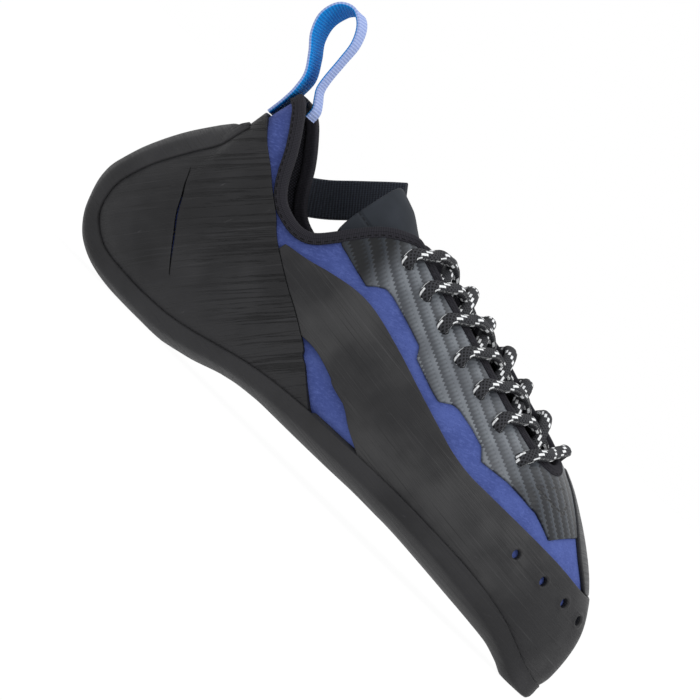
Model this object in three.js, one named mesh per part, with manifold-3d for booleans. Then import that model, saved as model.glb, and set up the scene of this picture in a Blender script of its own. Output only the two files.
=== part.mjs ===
// Lace-up climbing shoe, right foot, strongly downturned.
// Millimetres. +X runs from heel to toe, +Y to the inner (big toe) side, +Z up, floor at z = 0.
// Every wall, rubber layer and overlay is a slice between two grown copies of one last.

import * as THREE from 'three';
import { mergeVertices } from 'three/addons/utils/BufferGeometryUtils.js';
import Module from 'manifold-3d';

const wasm = await Module();
wasm.setup();

// Overall sizes
const LENGTH = 250; // heel to toe tip, over the rubber
const BALL_WIDTH = 90; // over the rubber at the joint of the big toe
const HEEL_WIDTH = 61; // over the rubber
const HEEL_HEIGHT = 101; // floor to the top of the collar at the heel
const INSTEP_HEIGHT = 95; // floor to the ridge at the top of the lacing
const ARCH_RISE = 10; // floor to the underside of the sole at arch and ball
const REST_X = 46; // back of the heel to the middle of the heel's flat spot

// Layers
const GAP = 0.3; // clearance between pieces that lie on each other
const WALL = 2; // upper
const RAND = 1.8; // rubber round the heel, the sides and the toe
const PATCH = 1.4; // thin rubber over the toes
const OVERLAY = 0.8; // eyestay
const TAPE = 1.1; // binding tape, one leaf
const INSOLE = 2.2;
const TONGUE = 2;
const SOLE = 4.2; // rubber of the sole
const SOLE_BACK = 3; // rubber of the sole where it climbs the heel
const SOLE_EDGE = 0.8; // step of the sole over the side rubber
const SPOT_DEPTH = 0.6; // what the flat spots at heel and toe take off the sole

// Openings, holes and trim
const LASTING_MARGIN = 11; // wall turned in under the foot
const INSOLE_MARGIN = 6; // insole edge to the widest line of the last
const BINDING = 3.4; // width of tape seen beside the edge of collar and throat
const EYELET_ROWS = 7;
const EYELET_DIAMETER = 3.2;
const VENT_DIAMETER = 3.4;
const SLIT_WIDTH = 1.2;
const LACE_DIAMETER = 4.2;
const LACE_LEAN = 0.2; // how far towards the next row a strand has gone at the edge
const WEBBING = 15; // width of the pull loop and of the tongue strap
const WEBBING_THICKNESS = 1.5;

// Facets
const FACET = 1.1; // most that a facet of the last lies inside its true surface
const AROUND = 18; // faces round a section
const OUTLINE_STEP = 9; // length of a facet along an outline
const COLLAR_STEP = 7; // the same along the edge of the way in
const PLAN_ROWS = 10; // places along each side of a plan of the foot
const HOLE_SIDES = 5;
const LACE_SIDES = 5;
const LACE_STEPS = 4;
const LOOP_STEPS = 26;
const STRAP_STEPS = 8;

// Reach of each layer from the last's own surface, which is the outside of the upper
const RAND_OUT = GAP + RAND;
const BACK_OUT = RAND_OUT + GAP + SOLE_BACK;
const UNDER_OUT = RAND_OUT + GAP + SOLE;
const EDGE_OUT = RAND_OUT + SOLE_EDGE;
const TAPE_UNDER = GAP + FACET / 2;
const TAPE_OUT = TAPE_UNDER + TAPE;
const TAPE_LINING = -(WALL + GAP + FACET);
const TAPE_IN = TAPE_LINING - TAPE;
const TRIM = 2; // what the edge ring takes off the wall round the way in
const TONGUE_OUT = TAPE_IN - GAP - FACET / 2;
const TONGUE_IN = TONGUE_OUT - TONGUE;
const INSOLE_OUT = -(WALL + GAP);
const INSOLE_IN = INSOLE_OUT - INSOLE;

const LAST_BACK = BACK_OUT;
const LAST_LENGTH = LENGTH - BACK_OUT - EDGE_OUT;
const LAST_LOW = UNDER_OUT - SPOT_DEPTH;

// Cutting bodies
const FAR = LENGTH; // past everything
const CLEAR = 6; // reach of a cut over an edge or through a wall
const SLOT_LOW = INSTEP_HEIGHT / 3; // lower end of the cut for the throat, well above the insole
const INSOLE_HIGH = HEEL_HEIGHT / 4; // above the insole and the wall turned in under the foot

// Shares of the last's length
const HEIGHT_CHANGE = { from: 0.2, to: 0.4 }; // HEEL_HEIGHT gives way to INSTEP_HEIGHT
const WIDTH_CHANGE = { from: 0.25, to: 0.6 }; // HEEL_WIDTH gives way to BALL_WIDTH
const UNDER_OPENING = { from: 0.11, to: 0.93 }; // opening of the upper under the foot
const INSOLE_SPAN = { from: 0.06, to: 0.965 };

// Sections of the last, heel to toe. at: share of its length. lift: share of ARCH_RISE.
// curl, high, belly: shares of the height named for that place. outer, inner, crest, keel:
// shares of the width named for that place. roof, edge: how square the top and the bottom are.
const COLUMNS = ['at', 'lift', 'curl', 'high', 'outer', 'inner', 'belly', 'crest', 'keel', 'roof', 'edge'];
const SECTION_ROWS = [
  [0.000, 0.00, 0.250, 0.312, 0.000, 0.000, 0.312, 0.000, 0.000, 2.0, 2.4],
  [0.006, 0.00, 0.180, 0.370, 0.139, 0.131, 0.310, 0.000, 0.000, 2.0, 2.4],
  [0.020, 0.00, 0.114, 0.466, 0.254, 0.246, 0.310, 0.000, 0.000, 2.0, 2.4],
  [0.045, 0.00, 0.055, 0.582, 0.352, 0.336, 0.310, 0.000, 0.000, 2.0, 2.4],
  [0.075, 0.00, 0.022, 0.686, 0.418, 0.397, 0.320, 0.000, 0.000, 2.0, 2.5],
  [0.100, 0.00, 0.010, 0.775, 0.448, 0.423, 0.320, 0.000, 0.000, 2.1, 2.6],
  [0.115, 0.00, 0.006, 0.960, 0.457, 0.431, 0.320, 0.000, 0.000, 2.2, 2.6],
  [0.130, 0.00, 0.004, 1.060, 0.464, 0.438, 0.320, 0.000, 0.000, 2.2, 2.6],
  [0.155, 0.00, 0.001, 1.120, 0.469, 0.443, 0.320, 0.000, 0.000, 2.2, 2.7],
  [0.200, 0.00, 0.000, 1.150, 0.472, 0.443, 0.325, 0.000, 0.000, 2.2, 2.8],
  [0.260, 0.25, 0.000, 1.155, 0.478, 0.430, 0.335, 0.000, 0.000, 2.2, 3.0],
  [0.320, 0.70, 0.000, 1.120, 0.475, 0.400, 0.350, 0.000, -0.01, 2.2, 3.3],
  [0.370, 0.93, 0.000, 1.095, 0.464, 0.374, 0.365, 0.000, -0.02, 2.3, 3.6],
  [0.420, 1.03, 0.000, 1.020, 0.457, 0.360, 0.370, 0.010, -0.03, 2.4, 3.8],
  [0.480, 1.04, 0.000, 0.972, 0.453, 0.361, 0.370, 0.030, -0.04, 2.3, 3.8],
  [0.550, 1.06, 0.000, 0.920, 0.455, 0.378, 0.370, 0.060, -0.03, 2.3, 3.8],
  [0.620, 1.10, 0.000, 0.876, 0.467, 0.416, 0.365, 0.090, -0.01, 2.2, 3.6],
  [0.690, 1.05, 0.000, 0.820, 0.464, 0.456, 0.355, 0.100, 0.015, 2.2, 3.4],
  [0.760, 0.93, 0.000, 0.772, 0.422, 0.481, 0.335, 0.120, 0.050, 2.2, 3.3],
  [0.820, 0.79, 0.000, 0.713, 0.351, 0.482, 0.315, 0.135, 0.090, 2.2, 3.2],
  [0.870, 0.66, 0.000, 0.637, 0.258, 0.464, 0.285, 0.150, 0.130, 2.1, 3.1],
  [0.910, 0.52, 0.000, 0.563, 0.160, 0.436, 0.260, 0.165, 0.165, 2.1, 3.0],
  [0.945, 0.22, 0.000, 0.484, 0.056, 0.396, 0.225, 0.180, 0.190, 2.1, 2.9],
  [0.970, -0.06, 0.000, 0.405, -0.033, 0.351, 0.190, 0.190, 0.195, 2.1, 2.8],
  [0.990, -0.05, 0.006, 0.310, -0.117, 0.289, 0.155, 0.197, 0.200, 2.1, 2.6],
  [1.000, 0.00, 0.066, 0.136, -0.200, 0.200, 0.136, 0.200, 0.200, 2.1, 2.4],
];
// Shares of the last's length where its faceted solid has a ring
const STATIONS = [
  0, 0.008, 0.03, 0.065, 0.095, 0.1125, 0.124, 0.145, 0.19, 0.26, 0.325, 0.365, 0.4,
  0.46, 0.54, 0.63, 0.71, 0.78, 0.84, 0.89, 0.93, 0.965, 0.988, 1,
];

// Side outlines. at: share of LENGTH from the back of the heel. up: share of the height named there.
// The same outlines serve both sides of the shoe.
const COLLAR_EDGE = [
  { at: 0.136, up: 0.995 },
  { at: 0.156, up: 0.976 },
  { at: 0.176, up: 0.924 },
  { at: 0.201, up: 0.840 },
  { at: 0.216, up: 0.772 },
  { at: 0.231, up: 0.718 },
  { at: 0.247, up: 0.684 },
  { at: 0.268, up: 0.670 },
  { at: 0.290, up: 0.667 },
  { at: 0.312, up: 0.690 },
  { at: 0.328, up: 0.740 },
  { at: 0.345, up: 0.803 },
  { at: 0.358, up: 0.852 },
  { at: 0.373, up: 0.902 },
  { at: 0.392, up: 0.945 },
  { at: 0.412, up: 0.972 },
  { at: 0.445, up: 1.010 },
];
const HEEL_RAND_EDGE = [
  { at: 0.100, up: 0.885 },
  { at: 0.118, up: 0.872 },
  { at: 0.135, up: 0.855 },
  { at: 0.163, up: 0.797 },
  { at: 0.193, up: 0.744 },
  { at: 0.222, up: 0.686 },
  { at: 0.253, up: 0.635 },
  { at: 0.275, up: 0.589 },
  { at: 0.305, up: 0.545 },
  { at: 0.340, up: 0.500 },
  { at: 0.372, up: 0.462 },
  { at: 0.402, up: 0.418 },
  { at: 0.434, up: 0.362 },
  { at: 0.494, up: 0.225 },
  { at: 0.530, up: 0.130 },
];
const RAND_TOP = [
  { at: 0.284, up: 0.570 },
  { at: 0.292, up: 0.595 },
  { at: 0.333, up: 0.623 },
  { at: 0.374, up: 0.659 },
  { at: 0.420, up: 0.682 },
  { at: 0.464, up: 0.677 },
  { at: 0.531, up: 0.634 },
  { at: 0.596, up: 0.581 },
  { at: 0.660, up: 0.529 },
  { at: 0.694, up: 0.503 },
  { at: 0.735, up: 0.485 },
  { at: 0.780, up: 0.483 },
  { at: 0.837, up: 0.481 },
  { at: 0.891, up: 0.476 },
  { at: 0.918, up: 0.469 },
  { at: 0.950, up: 0.455 },
  { at: 1.020, up: 0.430 },
];
const ARCH_WINDOW = [
  { at: 0.394, up: 0.405 },
  { at: 0.437, up: 0.408 },
  { at: 0.479, up: 0.378 },
  { at: 0.528, up: 0.336 },
  { at: 0.560, up: 0.283 },
  { at: 0.597, up: 0.231 },
  { at: 0.625, up: 0.170 },
];
const SOLE_SEAM = [
  { at: 0.116, up: 0.800 },
  { at: 0.108, up: 0.735 },
  { at: 0.096, up: 0.643 },
  { at: 0.077, up: 0.562 },
  { at: 0.052, up: 0.459 },
  { at: 0.035, up: 0.350 },
  { at: 0.030, up: 0.287 },
  { at: 0.034, up: 0.211 },
  { at: 0.046, up: 0.146 },
  { at: 0.071, up: 0.093 },
  { at: 0.098, up: 0.064 },
  { at: 0.150, up: 0.052 },
  { at: 0.200, up: 0.053 },
  { at: 0.250, up: 0.065 },
  { at: 0.310, up: 0.100 },
  { at: 0.384, up: 0.155 },
  { at: 0.440, up: 0.186 },
  { at: 0.497, up: 0.206 },
  { at: 0.598, up: 0.218 },
  { at: 0.697, up: 0.219 },
  { at: 0.798, up: 0.218 },
  { at: 0.867, up: 0.196 },
  { at: 0.915, up: 0.160 },
  { at: 0.964, up: 0.100 },
  { at: 1.020, up: 0.045 },
];
const EYESTAY_EDGE = [
  { at: 0.326, up: 0.766 },
  { at: 0.371, up: 0.751 },
  { at: 0.392, up: 0.739 },
  { at: 0.424, up: 0.721 },
  { at: 0.434, up: 0.747 },
  { at: 0.448, up: 0.769 },
  { at: 0.464, up: 0.766 },
  { at: 0.504, up: 0.737 },
  { at: 0.545, up: 0.703 },
  { at: 0.557, up: 0.660 },
  { at: 0.608, up: 0.614 },
  { at: 0.626, up: 0.602 },
  { at: 0.643, up: 0.634 },
  { at: 0.656, up: 0.638 },
  { at: 0.687, up: 0.622 },
  { at: 0.717, up: 0.597 },
  { at: 0.733, up: 0.554 },
  { at: 0.779, up: 0.568 },
  { at: 0.808, up: 0.564 },
  { at: 0.836, up: 0.556 },
  { at: 0.873, up: 0.513 },
  { at: 0.887, up: 0.579 },
  { at: 0.894, up: 0.620 },
];
const TONGUE_EDGE = [
  { at: 0.338, up: 1.200 },
  { at: 0.337, up: 1.080 },
  { at: 0.332, up: 0.960 },
  { at: 0.326, up: 0.840 },
  { at: 0.326, up: 0.780 },
];
const TONGUE_FOOT = [
  { at: 0.440, up: 0.760 },
  { at: 0.600, up: 0.680 },
  { at: 0.800, up: 0.600 },
  { at: 0.815, up: 0.640 },
];
const SLIT = [
  { at: 0.111, up: 0.526 },
  { at: 0.131, up: 0.442 },
  { at: 0.146, up: 0.376 },
  { at: 0.169, up: 0.302 },
  { at: 0.187, up: 0.244 },
  { at: 0.200, up: 0.206 },
];

// Top outlines. at: share of LENGTH. y: share of BALL_WIDTH, inner side positive.
const THROAT = [
  { at: 0.380, y: -0.160 },
  { at: 0.440, y: -0.170 },
  { at: 0.560, y: -0.180 },
  { at: 0.640, y: -0.188 },
  { at: 0.700, y: -0.188 },
  { at: 0.752, y: -0.170 },
  { at: 0.784, y: -0.120 },
  { at: 0.796, y: -0.040 },
  { at: 0.784, y: 0.045 },
  { at: 0.752, y: 0.090 },
  { at: 0.690, y: 0.105 },
  { at: 0.600, y: 0.122 },
  { at: 0.520, y: 0.138 },
  { at: 0.440, y: 0.145 },
  { at: 0.380, y: 0.145 },
];
const TOE_PATCH_EDGE = [
  { at: 0.780, y: 0.470 },
  { at: 0.786, y: 0.280 },
  { at: 0.806, y: 0.130 },
  { at: 0.832, y: 0.110 },
  { at: 0.860, y: 0.085 },
  { at: 0.887, y: 0.062 },
  { at: 0.914, y: 0.064 },
  { at: 0.935, y: 0.092 },
  { at: 0.955, y: 0.130 },
];

// Eyelets and vents. at: share of LENGTH. up: share of the height named there.
const FIRST_EYELET = 0.443;
const LAST_EYELET = 0.763;
const OUTER_EYELET_UP = [0.885, 0.845, 0.803, 0.757, 0.720, 0.682, 0.645];
const INNER_EYELET_UP = [0.900, 0.880, 0.846, 0.812, 0.780, 0.742, 0.700];
const VENTS = [
  { at: 0.853, up: 0.384 },
  { at: 0.902, up: 0.378 },
  { at: 0.939, up: 0.370 },
  { at: 0.965, up: 0.354 },
];

// Pull loop from its outer root to its inner root. at: share of LENGTH. up: share of HEEL_HEIGHT.
// turn: how far the tape's width leaves the Y axis, in degrees.
const PULL_LOOP = [
  { at: 0.1172, up: 0.876, turn: 0 },
  { at: 0.1190, up: 0.905, turn: 0 },
  { at: 0.1214, up: 0.952, turn: 0 },
  { at: 0.1232, up: 1.010, turn: -3 },
  { at: 0.1200, up: 1.075, turn: -7 },
  { at: 0.1040, up: 1.140, turn: -10 },
  { at: 0.0860, up: 1.200, turn: -13 },
  { at: 0.0780, up: 1.270, turn: -16 },
  { at: 0.0860, up: 1.335, turn: -16 },
  { at: 0.1050, up: 1.363, turn: -10 },
  { at: 0.1230, up: 1.338, turn: -3 },
  { at: 0.1355, up: 1.275, turn: 1 },
  { at: 0.1390, up: 1.195, turn: 3 },
  { at: 0.1415, up: 1.115, turn: 3 },
  { at: 0.1455, up: 1.065, turn: 2 },
  { at: 0.1545, up: 1.032, turn: 0 },
  { at: 0.1635, up: 0.998, turn: 0 },
  { at: 0.1645, up: 0.960, turn: 0 },
];

// Elastic strap from the outside of the collar's inner side to the tongue. at: share of LENGTH.
// up: share of HEEL_HEIGHT. y: share of HEEL_WIDTH.
const STRAP = [
  { at: 0.165, up: 0.680, y: 0.487 },
  { at: 0.205, up: 0.722, y: 0.484 },
  { at: 0.245, up: 0.785, y: 0.444 },
  { at: 0.285, up: 0.865, y: 0.350 },
  { at: 0.325, up: 0.944, y: 0.235 },
  { at: 0.347, up: 0.986, y: 0.175 },
];

// Maths of the last

// Smooth step from one named size to another between two shares of the length.
function blend(at, span, first, second) {
  const t = THREE.MathUtils.smoothstep(at, span.from, span.to);
  return first + (second - first) * t;
}

const heightAt = (at) => blend(at, HEIGHT_CHANGE, HEEL_HEIGHT, INSTEP_HEIGHT);
const widthAt = (at) => blend(at, WIDTH_CHANGE, HEEL_WIDTH, BALL_WIDTH);

// Round ends read smoothly when the share is measured as an angle.
const asAngle = (at) => Math.acos(1 - 2 * THREE.MathUtils.clamp(at, 0, 1));

// Monotone cubic through the rows of one column.
function columnCurve(index) {
  const xs = SECTION_ROWS.map((row) => asAngle(row[0]));
  const ys = SECTION_ROWS.map((row) => row[index]);
  const slopes = xs.slice(1).map((x, i) => (ys[i + 1] - ys[i]) / (x - xs[i]));
  const tangents = xs.map((x, i) => {
    if (i === 0) return slopes[0];
    if (i === slopes.length) return slopes[i - 1];
    const before = slopes[i - 1];
    const after = slopes[i];
    return before * after <= 0 ? 0 : (2 * before * after) / (before + after);
  });
  return (at) => {
    const angle = asAngle(at);
    let i = 0;
    while (i < slopes.length - 1 && angle > xs[i + 1]) i += 1;
    const step = xs[i + 1] - xs[i];
    const t = (angle - xs[i]) / step;
    const rise = ys[i + 1] - ys[i];
    const a = tangents[i] * step - rise;
    const b = rise - tangents[i + 1] * step;
    return ys[i] + t * rise + t * (1 - t) * (a * (1 - t) + b * t);
  };
}

const curves = Object.fromEntries(COLUMNS.map((name, index) => [name, columnCurve(index)]));

// One section in millimetres.
function section(at) {
  const height = heightAt(at);
  const width = widthAt(at);
  return {
    x: LAST_BACK + at * LAST_LENGTH,
    low: LAST_LOW + curves.lift(at) * ARCH_RISE + curves.curl(at) * HEEL_HEIGHT,
    high: curves.high(at) * height,
    belly: curves.belly(at) * height,
    outer: -curves.outer(at) * width,
    inner: curves.inner(at) * width,
    crest: curves.crest(at) * width,
    keel: curves.keel(at) * width,
    roof: curves.roof(at),
    edge: curves.edge(at),
  };
}

// Point of the last's surface. turn: 0 at the widest line of the outer side, 0.25 at the crest,
// 0.5 at the widest line of the inner side, 0.75 under the foot.
function surfacePoint(at, turn) {
  const s = section(at);
  const angle = turn * 2 * Math.PI;
  const across = Math.cos(angle);
  const up = Math.sin(angle);
  const side = across > 0 ? s.outer : s.inner;
  const middle = up > 0 ? s.crest : s.keel;
  const power = 2 / (up > 0 ? s.roof : s.edge);
  const end = up > 0 ? s.high : s.low;
  return new THREE.Vector3(
    s.x,
    middle + (side - middle) * Math.abs(across) ** power,
    s.belly + (end - s.belly) * Math.abs(up) ** power,
  );
}

const NUDGE = 0.002; // step of share and turn for a slope
const ENDS = { from: 0.0001, to: 0.9999 }; // shares that stay clear of the last's two end points
const CREST_TURN = 0.25;
const ANKLE_SHARE = 0.18; // share of the last where the collar is well in front of the heel
const HALVINGS = 30;

function surfaceNormal(at, turn) {
  const ahead = surfacePoint(Math.min(at + NUDGE, ENDS.to), turn);
  const behind = surfacePoint(Math.max(at - NUDGE, ENDS.from), turn);
  const next = surfacePoint(at, turn + NUDGE);
  const last = surfacePoint(at, turn - NUDGE);
  return ahead.sub(behind).cross(next.sub(last)).normalize();
}

// Surface point moved out along its normal.
function liftedPoint(at, turn, lift) {
  return surfacePoint(at, turn).addScaledVector(surfaceNormal(at, turn), lift);
}

// Turn of the surface point at a height, on the outer or the inner side.
function turnAt(at, height, outerSide) {
  const s = section(at);
  const up = THREE.MathUtils.clamp((height - s.belly) / (s.high - s.belly), -1, 1);
  const quarter = Math.asin(Math.abs(up) ** (s.roof / 2)) / (2 * Math.PI);
  return outerSide ? quarter : 0.5 - quarter;
}

// Turn of the surface point above a place across the foot.
function turnAcross(at, y) {
  const s = section(at);
  const outerSide = y < s.crest;
  const reach = Math.abs(y - s.crest) / Math.abs((outerSide ? s.outer : s.inner) - s.crest);
  const quarter = Math.acos(Math.min(reach, 1) ** (s.roof / 2)) / (2 * Math.PI);
  return outerSide ? quarter : 0.5 - quarter;
}

const lastShare = (x) => (x - LAST_BACK) / LAST_LENGTH;

// Solids

function solid(positions, triangles) {
  return new wasm.Manifold(new wasm.Mesh({
    numProp: 3,
    vertProperties: new Float32Array(positions),
    triVerts: new Uint32Array(triangles),
  }));
}

function solidFromGeometry(geometry) {
  const bare = geometry.clone();
  bare.deleteAttribute('normal');
  bare.deleteAttribute('uv');
  const merged = mergeVertices(bare, 1e-4);
  return solid(merged.attributes.position.array, merged.index.array);
}

// The last grown by `reach`, a function of the surface normal or one number.
function last(reach) {
  const reachAt = typeof reach === 'number' ? () => reach : reach;
  const positions = [];
  const triangles = [];
  const inner = STATIONS.slice(1, -1);
  const back = surfacePoint(0, 0);
  const tip = surfacePoint(1, 0);
  positions.push(back.x - reachAt(new THREE.Vector3(-1, 0, 0)), back.y, back.z);
  for (const at of inner) {
    for (let k = 0; k < AROUND; k += 1) {
      const normal = surfaceNormal(at, k / AROUND);
      const point = surfacePoint(at, k / AROUND).addScaledVector(normal, reachAt(normal));
      positions.push(point.x, point.y, point.z);
    }
  }
  positions.push(tip.x + reachAt(new THREE.Vector3(1, 0, 0)), tip.y, tip.z);
  const lastIndex = inner.length * AROUND + 1;
  const at = (ring, k) => 1 + ring * AROUND + (k % AROUND);
  for (let k = 0; k < AROUND; k += 1) {
    triangles.push(0, at(0, k), at(0, k + 1));
    triangles.push(lastIndex, at(inner.length - 1, k + 1), at(inner.length - 1, k));
  }
  for (let ring = 0; ring < inner.length - 1; ring += 1) {
    for (let k = 0; k < AROUND; k += 1) {
      triangles.push(at(ring, k), at(ring + 1, k), at(ring + 1, k + 1));
      triangles.push(at(ring, k), at(ring + 1, k + 1), at(ring, k + 1));
    }
  }
  const made = solid(positions, triangles);
  return made.volume() > 0 ? made : solid(positions, flipped(triangles));
}

function flipped(triangles) {
  const turned = [];
  for (let i = 0; i < triangles.length; i += 3) {
    turned.push(triangles[i], triangles[i + 2], triangles[i + 1]);
  }
  return turned;
}

// Layer of the last between two reaches.
const layer = (outer, inner) => last(outer).subtract(last(inner));

// Outlines

const sidePoint = ({ at, up }) => new THREE.Vector2(at * LENGTH, up * heightAt(at));
const topPoint = ({ at, y }) => new THREE.Vector2(at * LENGTH, y * BALL_WIDTH);

// Smooth line through points, about `step` apart.
function smoothLine(points, step = OUTLINE_STEP) {
  const curve = new THREE.SplineCurve(points);
  return curve.getSpacedPoints(Math.round(curve.getLength() / step));
}

// Line moved sideways; positive to its left as it runs.
function shifted(line, distance) {
  return line.map((point, i) => {
    const before = line[Math.max(i - 1, 0)];
    const after = line[Math.min(i + 1, line.length - 1)];
    const along = after.clone().sub(before).normalize();
    return new THREE.Vector2(point.x - along.y * distance, point.y + along.x * distance);
  });
}

function extruded(points, depth) {
  return new THREE.ExtrudeGeometry(new THREE.Shape(points), { depth, bevelEnabled: false, steps: 1 });
}

// Prism along Y with an outline in X and Z.
function sidePrism(points, from = -FAR, to = FAR) {
  const geometry = extruded(points, to - from);
  geometry.rotateX(Math.PI / 2);
  geometry.translate(0, to, 0);
  return solidFromGeometry(geometry);
}

// Prism along Z with an outline in X and Y.
function topPrism(points, from = -FAR, to = FAR) {
  const geometry = extruded(points, to - from);
  geometry.translate(0, 0, from);
  return solidFromGeometry(geometry);
}

const v2 = (x, y) => new THREE.Vector2(x, y);

// Everything above a side line that runs from heel to toe.
function above(line) {
  const first = line[0];
  const end = line[line.length - 1];
  return sidePrism([v2(first.x, FAR), ...line, v2(end.x, FAR)]);
}

// Everything below a side line that runs from heel to toe.
function below(line) {
  const first = line[0];
  const end = line[line.length - 1];
  return sidePrism([v2(first.x, -FAR), ...line, v2(end.x, -FAR)]);
}

// Regions

const collarLine = smoothLine(COLLAR_EDGE.map(sidePoint), COLLAR_STEP);
const throatLine = smoothLine(THROAT.map(topPoint));

// The foot's way in, collar and throat, a little inside its edge.
function wayIn() {
  const edge = shifted(collarLine, TRIM);
  const start = edge[0];
  const end = edge[edge.length - 1];
  const mouth = sidePrism([v2(-FAR, FAR), v2(-FAR, start.y), ...edge, v2(end.x, FAR)]);
  const slot = topPrism(shifted(throatLine, TRIM), SLOT_LOW, FAR);
  return mouth.add(slot);
}

// The edge of the way in as places on the last: along the collar's outer side, round the throat
// and back along the collar's inner side.
function edgePlaces() {
  const rim = collarLine.map((point) => ({ share: lastShare(point.x), height: point.y }));
  const slot = throatLine.map(({ x, y }) => ({ share: lastShare(x), turn: turnAcross(lastShare(x), y) }));
  const lower = (outerSide) => rim
    .map(({ share, height }) => ({ share, height, turn: turnAt(share, height, outerSide) }))
    .filter(({ share, height }) => {
      const y = outerSide ? THROAT[1].y : THROAT[THROAT.length - 2].y;
      const turn = turnAcross(share, y * BALL_WIDTH);
      return share < lastShare(THROAT[0].at * LENGTH) || height < surfacePoint(share, turn).z;
    });
  const outer = lower(true).filter(({ share, height }) => section(share).high > height);
  const inner = lower(false).filter(({ share, height }) => section(share).high > height);
  const start = outer[outer.length - 1].share;
  const round = slot.filter(({ share }) => share > start + OUTLINE_STEP / 2 / LAST_LENGTH);
  return [
    placeAtHeight(CREST_TURN, rim[0].height),
    ...roundHeel(rim[0].height, outer[0]),
    ...outer,
    ...round,
    ...inner.reverse(),
    ...roundHeel(rim[0].height, inner[inner.length - 1]).reverse(),
  ];
}

// Places behind the ankle between the ridge and the first place of one side, a quarter turn apart.
function roundHeel(height, first) {
  const quarters = [0.25, 0.5, 0.75];
  return quarters.map((t) => {
    const turn = THREE.MathUtils.lerp(CREST_TURN, first.turn, t);
    return placeAtHeight(turn, THREE.MathUtils.lerp(height, first.height, t * t));
  });
}

// Where the back of the ankle passes a height at one turn.
function placeAtHeight(turn, height) {
  let low = 0;
  let high = ANKLE_SHARE;
  for (let i = 0; i < HALVINGS; i += 1) {
    const middle = (low + high) / 2;
    if (surfacePoint(middle, turn).z < height) low = middle;
    else high = middle;
  }
  return { share: low, turn };
}

// Place reached by walking over the surface along a direction.
function walked(place, direction, distance) {
  const steps = Math.max(1, Math.ceil(Math.abs(distance)));
  let { share, turn } = place;
  for (let i = 0; i < steps; i += 1) {
    const here = surfacePoint(share, turn);
    const byShare = surfacePoint(share + NUDGE, turn).sub(here).divideScalar(NUDGE);
    const byTurn = surfacePoint(share, turn + NUDGE).sub(here).divideScalar(NUDGE);
    const move = direction.clone().multiplyScalar(distance / steps);
    const a = byShare.dot(byShare);
    const b = byShare.dot(byTurn);
    const c = byTurn.dot(byTurn);
    const p = byShare.dot(move);
    const q = byTurn.dot(move);
    const det = a * c - b * b;
    share += (c * p - b * q) / det;
    turn += (a * q - b * p) / det;
  }
  return { share, turn };
}

// Ring that follows the edge of the way in. Each corner of its section is a distance from the
// edge into the wall and a reach from the last.
function edgeRing(corners) {
  const places = edgePlaces();
  const count = places.length;
  const positions = [];
  const triangles = [];
  places.forEach((place, i) => {
    const before = places[(i + count - 1) % count];
    const after = places[(i + 1) % count];
    const along = surfacePoint(after.share, after.turn).sub(surfacePoint(before.share, before.turn));
    const intoWall = along.cross(surfaceNormal(place.share, place.turn)).normalize();
    for (const { into, reach } of corners) {
      const spot = walked(place, intoWall, into);
      const point = liftedPoint(spot.share, spot.turn, reach);
      positions.push(point.x, point.y, point.z);
    }
    for (let k = 0; k < corners.length; k += 1) {
      const a = i * corners.length + k;
      const b = i * corners.length + ((k + 1) % corners.length);
      const c = ((i + 1) % count) * corners.length + k;
      const d = ((i + 1) % count) * corners.length + ((k + 1) % corners.length);
      triangles.push(a, b, d, a, d, c);
    }
  });
  const made = solid(positions, triangles);
  return made.volume() > 0 ? made : solid(positions, flipped(triangles));
}

// Ring with a rectangular section.
const edgeBand = (from, to, low, high) => edgeRing([
  { into: from, reach: low },
  { into: to, reach: low },
  { into: to, reach: high },
  { into: from, reach: high },
]);

const heelRandLine = smoothLine(HEEL_RAND_EDGE.map(sidePoint));
const seamLine = smoothLine(SOLE_SEAM.map(sidePoint));

// Behind and below the front edge of the heel rubber, grown by `grow`.
function heelRegion(grow) {
  const edge = shifted(heelRandLine, grow);
  const end = edge[edge.length - 1];
  return sidePrism([v2(-FAR, edge[0].y), ...edge, v2(end.x, -FAR), v2(-FAR, -FAR)]);
}

// Below the top edge of the side rubber, in front of the heel rubber, less the window at the arch.
function toeRegion(grow) {
  const top = shifted(smoothLine(RAND_TOP.map(sidePoint)), grow);
  const arch = shifted(smoothLine(ARCH_WINDOW.map(sidePoint)), -grow);
  const foot = arch[arch.length - 1];
  const body = below(top);
  const window = sidePrism([v2(0, arch[0].y), ...arch, v2(foot.x, -FAR), v2(0, -FAR)]);
  return body.subtract(window).subtract(heelRegion(GAP - grow));
}

// The sole's side of its seam.
function soleRegion() {
  const end = seamLine[seamLine.length - 1];
  return sidePrism([v2(-FAR, seamLine[0].y), ...seamLine, v2(end.x, -FAR), v2(-FAR, -FAR)]);
}

// Plan of the foot inside its widest line.
function footPlan(margin, { from, to }) {
  const step = (to - from) / (PLAN_ROWS - 1);
  const shares = Array.from({ length: PLAN_ROWS }, (_, i) => from + step * i);
  const outer = shares.map((at) => v2(section(at).x, section(at).outer + margin));
  const inner = shares.map((at) => v2(section(at).x, section(at).inner - margin));
  return [...outer, ...inner.reverse()];
}

// Round hole through the surface at a point given by share and height on one side.
function holeAt({ at, up }, outerSide, diameter) {
  const share = lastShare(at * LENGTH);
  const turn = turnAt(share, up * heightAt(at), outerSide);
  const normal = surfaceNormal(share, turn);
  const geometry = new THREE.CylinderGeometry(diameter / 2, diameter / 2, 2 * CLEAR, HOLE_SIDES);
  geometry.applyQuaternion(new THREE.Quaternion().setFromUnitVectors(new THREE.Vector3(0, 1, 0), normal));
  const centre = surfacePoint(share, turn);
  geometry.translate(centre.x, centre.y, centre.z);
  return solidFromGeometry(geometry);
}

const pitch = (LAST_EYELET - FIRST_EYELET) / (EYELET_ROWS - 1);
const eyelet = (row, outerSide) => ({
  at: FIRST_EYELET + row * pitch,
  up: (outerSide ? OUTER_EYELET_UP : INNER_EYELET_UP)[row],
});

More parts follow.
